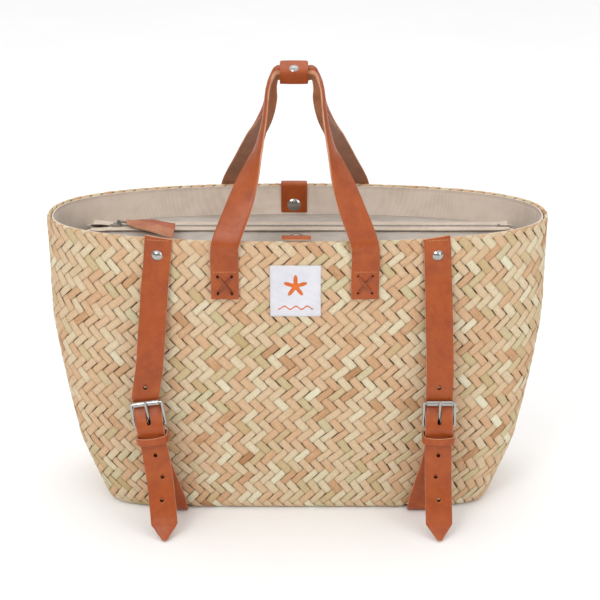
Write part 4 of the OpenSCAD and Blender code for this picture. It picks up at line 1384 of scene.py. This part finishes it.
def lower_strap(side):
    """The lower strap from its groove under the base, up behind the bar, over it and down."""
    s = SIDES[side]
    kx = lean_x(s, KEEPER_Z)
    lean = math.degrees(s.lean)

    def row(x, y, z, turn=0.0):
        return band(x, y, z, turn, STRAP_W - 1.4)

    def toward(share):
        return s.groove + (kx - s.groove) * share

    rows = [row(s.groove, y, STRAP_T / 2 + 0.05, lean) for y in (-29, -55, -72)]
    rows += [row(s.groove, -79.5, 6, lean / 2), row(toward(0.1), -84, 20),
             row(toward(0.45), -93, 48), row(toward(0.88), -100, 80),
             row(kx, BUCKLE_Y + 2.2, 104),
             row(lean_x(s, BAR_Z - 3.5), BUCKLE_Y + FOLD_OFF - 0.1, BAR_Z - 3.5)]
    for a in np.linspace(0, math.pi, 5):
        z = BAR_Z + FOLD_OFF * math.sin(a)
        rows.append(row(lean_x(s, z), BUCKLE_Y + FOLD_OFF * math.cos(a), z))
    rows += [row(lean_x(s, BAR_Z - 4), BUCKLE_Y - FOLD_OFF + 0.5, BAR_Z - 4),
             row(kx, BUCKLE_Y - 0.75, KEEPER_Z + 0.5), row(lean_x(s, 94), BUCKLE_Y - 0.7, 94)]
    up, right = buckle_axes(s)
    ob = ribbon(f"lower_strap_{side}_leather", smooth_rows(rows, 5), right, grain=-1, crown=0.15,
                creases=0.0)
    middle = np.array([s.bar, BUCKLE_Y, BAR_Z]) + up * 0.85
    cut(ob, *long_hole(middle, right, up, 2.6, 6.2, 8), EDGE)
    give(ob, "basket", "leather", f"lower_strap_{side}")


def keeper(side):
    """A narrow leather loop round the strap's tail and the lower strap."""
    s = SIDES[side]
    low, high = box_mm(f"keeper_{side}")
    t = 1.9
    half_x = STRAP_W / 2 + 0.7 + t / 2
    y0, y1 = low[1] + t / 2 + 0.05, high[1] - t / 2 - 0.05
    mid_y, half_y = (y0 + y1) / 2, (y1 - y0) / 2
    cx = lean_x(s, KEEPER_Z)
    corner = 2.6
    ring_path = []
    for sx, sy, a0 in ((1, 1, 0), (-1, 1, 90), (-1, -1, 180), (1, -1, 270)):
        for k in range(5):
            a = math.radians(a0 + 22.5 * k)
            ring_path.append((sx * (half_x - corner) + corner * math.cos(a),
                              mid_y + sy * (half_y - corner) + corner * math.sin(a)))
        if a0 == 180:
            for f in np.linspace(-0.85, 0.85, 9):
                ring_path.append((f * (half_x - corner), mid_y - half_y))
    ring_path = np.array(ring_path)
    front = ring_path[:, 1] < mid_y
    ring_path[front, 1] -= KEEPER_BOW * (1 - (ring_path[front, 0] / half_x) ** 2)
    ring_path = np.vstack([ring_path, ring_path[:1]])
    run = np.concatenate([[0], np.cumsum(np.hypot(*np.diff(ring_path, axis=0).T))])
    even = np.linspace(0, run[-1], 73)[:-1]
    xs, ys = np.interp(even, run, ring_path[:, 0]), np.interp(even, run, ring_path[:, 1])
    tangent = unit(np.stack([np.roll(v, -1) - np.roll(v, 1) for v in (xs, ys)], -1))
    width = 8.2
    up, right = buckle_axes(s)
    middle = np.array([cx, 0, KEEPER_Z])
    turned = []
    for x, y, (tx, ty) in zip(xs, ys, tangent):
        out = np.array([ty, -tx, 0])
        r = ribbon_ring(np.array([x, y, 0]), UP, out, width, t, width, 0.2)
        turned.append(middle + np.outer(r[:, 0], right) + np.outer(r[:, 2], up)
                      + np.outer(r[:, 1], (0, 1, 0)))
    cols = len(turned[0])
    points = np.concatenate(turned)
    faces = grid_faces(len(turned) + 1, cols, closed_cols=True)
    faces = [tuple(i % len(points) for i in f) for f in faces]
    slots = ribbon_slots(len(faces), cols, ends=0)
    ob = fix_normals(make_mesh(f"keeper_{side}_loop", points, faces, LEATHER, slots))
    give(ob, f"keeper_{side}", "leather", f"keeper_{side}")


# ---------- Snap tabs ----------
def tab_back():
    low, high = box_mm("tab_back")
    x, y = (low[0] + high[0]) / 2, (low[1] + high[1]) / 2
    w, t = high[0] - low[0], high[1] - low[1]
    z = high[2] - t / 2
    end = box_mm("tab_back_end")[1][1]
    places = [(end, z), (end - 2.5, z + 0.2), (y + 2.6, z + 0.1), (y + 0.8, z - 0.7), (y, z - 3),
              (y - 0.2, z - 12), (y, z - 22), (y, low[2] + 4.2), (y, low[2] + 1.2)]
    rows = [band(x, py, pz, 0, w, t) for py, pz in places]
    rows.append(band(x, y, low[2] + 0.2, 0, w - 1.6, t))
    ob = ribbon("tab_back_leather", smooth_rows(rows, 5), RIGHT, crown=0.2, creases=0.1, seed=4)
    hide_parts("tab_back", "tab_back_end")
    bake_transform(ob)


def tab_front():
    low, high = box_mm("tab_front_end")
    x, w = (low[0] + high[0]) / 2, high[0] - low[0]
    pivot = joint_place("tab_front_lift")
    drop = math.radians(20)
    t = 2.0

    def down(length, sink=0.0):
        return (pivot[1] + length * math.cos(drop) - sink * math.sin(drop),
                pivot[2] - length * math.sin(drop) - sink * math.cos(drop))

    rows = [band(x, low[1] + dy, high[2] - dz, 0, w, t)
            for dy, dz in ((0, 2.6), (1.6, 1.5), (3.4, 1.0))]
    for length, width in ((1.5, w), (6, w), (14, w), (22, w), (29, w), (32.4, w - 1.6),
                          (34.2, w - 7)):
        y, z = down(length)
        rows.append(band(x, y, z, 0, width, t))
    ob = ribbon("tab_front_leather", smooth_rows(rows, 5), RIGHT, grain=-1, crown=0.2,
                creases=0.1, seed=6)
    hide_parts("tab_front", "tab_front_end")
    y, z = down(3)
    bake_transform(ob)


# ---------- Label ----------
def label():
    """A small cotton label with a plain border, a rounded starfish and a wavy line."""
    x0, x1 = label_low[0], label_high[0]
    z0, z1 = label_low[2], label_high[2]
    lift = 0.8

    def place(x, z, out):
        return [x, -float(wall_depth(x, z, RIM_FRONT)) - out, z]
    xs, zs = np.linspace(x0, x1, 27), np.linspace(z0, z1, 29)
    rings = []
    for z in zs:
        tuck = 0.5 * (1 if z in (zs[0], zs[-1]) else 0)
        bulge = [lift + 0.25 * math.sin(x / 5 + z / 9) - tuck for x in xs]
        top = [place(x, z, 0.35 + b) for x, b in zip(xs, bulge)]
        low = [place(x, z, 0.1 + 0.15 * (1 - tuck)) for x in xs[::-1]]
        rings.append(np.array(top + low))
    ob = ring_mesh("label_cloth", rings, [COTTON])
    give(ob, "basket", "label_cloth", "label")

    def on_label(x, z, out):
        b = lift + 0.25 * math.sin(x / 5 + z / 9)
        return place(x, z, 0.35 + b + out)

    inset = 2.2
    border = []
    corners = [(x0 + inset, z1 - inset), (x1 - inset, z1 - inset), (x1 - inset, z0 + inset),
               (x0 + inset, z0 + inset)]
    for (xa, za), (xb, zb), count in zip(corners, corners[1:] + corners[:1], (24, 26, 24, 26)):
        for f in np.linspace(0, 1, count)[:-1]:
            border.append(on_label(xa + (xb - xa) * f, za + (zb - za) * f, 0.1))
    stitch_row("label_stitches", border, np.array([0, -1.0, 0]), PALE_THREAD,
               "label_cloth", length=0.62, radius=0.25, closed=True)
    star_x, star_z = (x0 + x1) / 2, z0 + (z1 - z0) * 0.6
    points, faces = [on_label(star_x, star_z, 0.2)], []
    rim_count = 60
    for share, out in ((0.5, 0.2), (0.93, 0.16), (1.0, -0.25)):
        for i in range(rim_count):
            a = math.pi / 2 + 2 * math.pi * i / rim_count
            arm = 0.5 + 0.5 * math.cos(5 * (a - math.pi / 2))
            r = (4.2 + 8.8 * arm**1.7) * share
            points.append(on_label(star_x + r * math.cos(a), star_z + r * math.sin(a), out))
    for i in range(rim_count):
        j = (i + 1) % rim_count
        faces.append((0, 1 + i, 1 + j))
        for k in (0, 1):
            faces.append((1 + k * rim_count + i, 1 + (k + 1) * rim_count + i,
                          1 + (k + 1) * rim_count + j, 1 + k * rim_count + j))
    base = 1 + 2 * rim_count
    faces.append(tuple(base + i for i in range(rim_count))[::-1])
    star = fix_normals(make_mesh("label_starfish", points, faces, [PRINT]))
    give(star, "basket", "label_cloth")
    rings = []
    for x in np.linspace(x0 + 8, x1 - 8, 60):
        z = z0 + 10 + 1.7 * math.sin((x - x0) * 2 * math.pi / 11.5)
        rings.append(np.array([on_label(x, z + 0.75, 0.12), on_label(x, z + 0.75, -0.2),
                               on_label(x, z - 0.75, -0.2), on_label(x, z - 0.75, 0.12)]))
    wave = ring_mesh("label_wave", rings, [PRINT])
    give(wave, "basket", "label_cloth")


# ---------- Hardware kept from the CAD model ----------
def dress_hardware():
    for name, node in frame["nodes"].items():
        if node.hide_render:
            continue
        if name in ("zip_slider", "zip_pull_link", "zip_stops"):
            look, finish = PLATED, "zip_metal"
        elif name.startswith(("tab_front", "tab_back")) and not name.endswith("snap"):
            continue
        else:
            look, finish = CHROME, "chrome"
        node.data.materials.clear()
        node.data.materials.append(look)
        smooth = node.data
        smooth.polygons.foreach_set("use_smooth", np.ones(len(smooth.polygons), bool))
        smooth.set_sharp_from_angle(angle=math.radians(34))


# ---------- Room, light and camera ----------
FLOOR_HALF = 9000
SKY = ((0.22, 0.3), (0.5, 1.0))
SKY_STRENGTH = 1.12
LIGHT_AT = (0, 0, 0.2)


def studio():
    floor_look = Look("studio_floor", Roughness=0.75, Specular_IOR_Level=0.2)
    floor_look.colour(floor_look.ramp(floor_look.noise(400), (0.3, (0.91, 0.91, 0.91)),
                                      (0.7, (0.93, 0.93, 0.93))))
    corners = [(x * FLOOR_HALF, y * FLOOR_HALF, 0) for x, y in ((-1, -1), (1, -1), (1, 1), (-1, 1))]
    floor = make_mesh("floor", corners, [(0, 1, 2, 3)], [floor_look.mat])
    world = bpy.data.worlds.new("studio")
    world.use_nodes = True
    tree = world.node_tree
    height = tree.nodes.new("ShaderNodeSeparateXYZ")
    tree.links.new(tree.nodes.new("ShaderNodeTexCoord").outputs["Generated"], height.inputs[0])
    sky = tree.nodes.new("ShaderNodeValToRGB")
    for p, (place, grey) in zip(sky.color_ramp.elements, SKY):
        p.position = place
        p.color = (grey, grey, grey, 1)
    tree.links.new(height.outputs["Z"], sky.inputs["Fac"])
    tree.links.new(sky.outputs["Color"], tree.nodes["Background"].inputs["Color"])
    tree.nodes["Background"].inputs["Strength"].default_value = SKY_STRENGTH
    bpy.context.scene.world = world

    def area(name, place, size_m, power):
        light = bpy.data.lights.new(name, "AREA")
        light.shape = "RECTANGLE"
        light.size, light.size_y = size_m
        light.energy = power
        ob = bpy.data.objects.new(name, light)
        ob.location = place
        ob.rotation_euler = (Vector(LIGHT_AT) - Vector(place)).to_track_quat("-Z", "Y").to_euler()
        bpy.context.scene.collection.objects.link(ob)

    area("key", (-1.1, -1.9, 1.9), (1.1, 0.9), 20)
    area("fill", (1.7, -1.5, 1.0), (0.8, 1.2), 7)
    area("top", (0.1, 0.7, 2.4), (2.2, 1.6), 8)
    bpy.context.scene.view_settings.view_transform = "Standard"


CAMERA_AT = (0, -1.3434, 0.771)
CAMERA_DOWN = 22.45
LENS = 80.9
SHIFT = 0.00417


def camera():
    data = bpy.data.cameras.new("camera")
    data.sensor_width = 36
    data.lens = LENS
    data.shift_x = SHIFT
    ob = bpy.data.objects.new("camera", data)
    ob.location = CAMERA_AT
    ob.rotation_euler = (math.radians(90 - CAMERA_DOWN), 0, 0)
    bpy.context.scene.collection.objects.link(ob)
    bpy.context.scene.camera = ob


camera()
basket_weave()
bag = liner()
strips = [zip_strip(-1, RIM_FRONT), zip_strip(1, RIM_BACK)]
zip_tapes()
zip_pull()
handle(-1, RIM_FRONT)
handle(1, RIM_BACK)
lacing(-1, RIM_FRONT)
lacing(1, RIM_BACK)
wrap()
for which in SIDES:
    strap(which)
    lower_strap(which)
    keeper(which)
tab_back()
tab_front()
label()
dress_hardware()
studio()
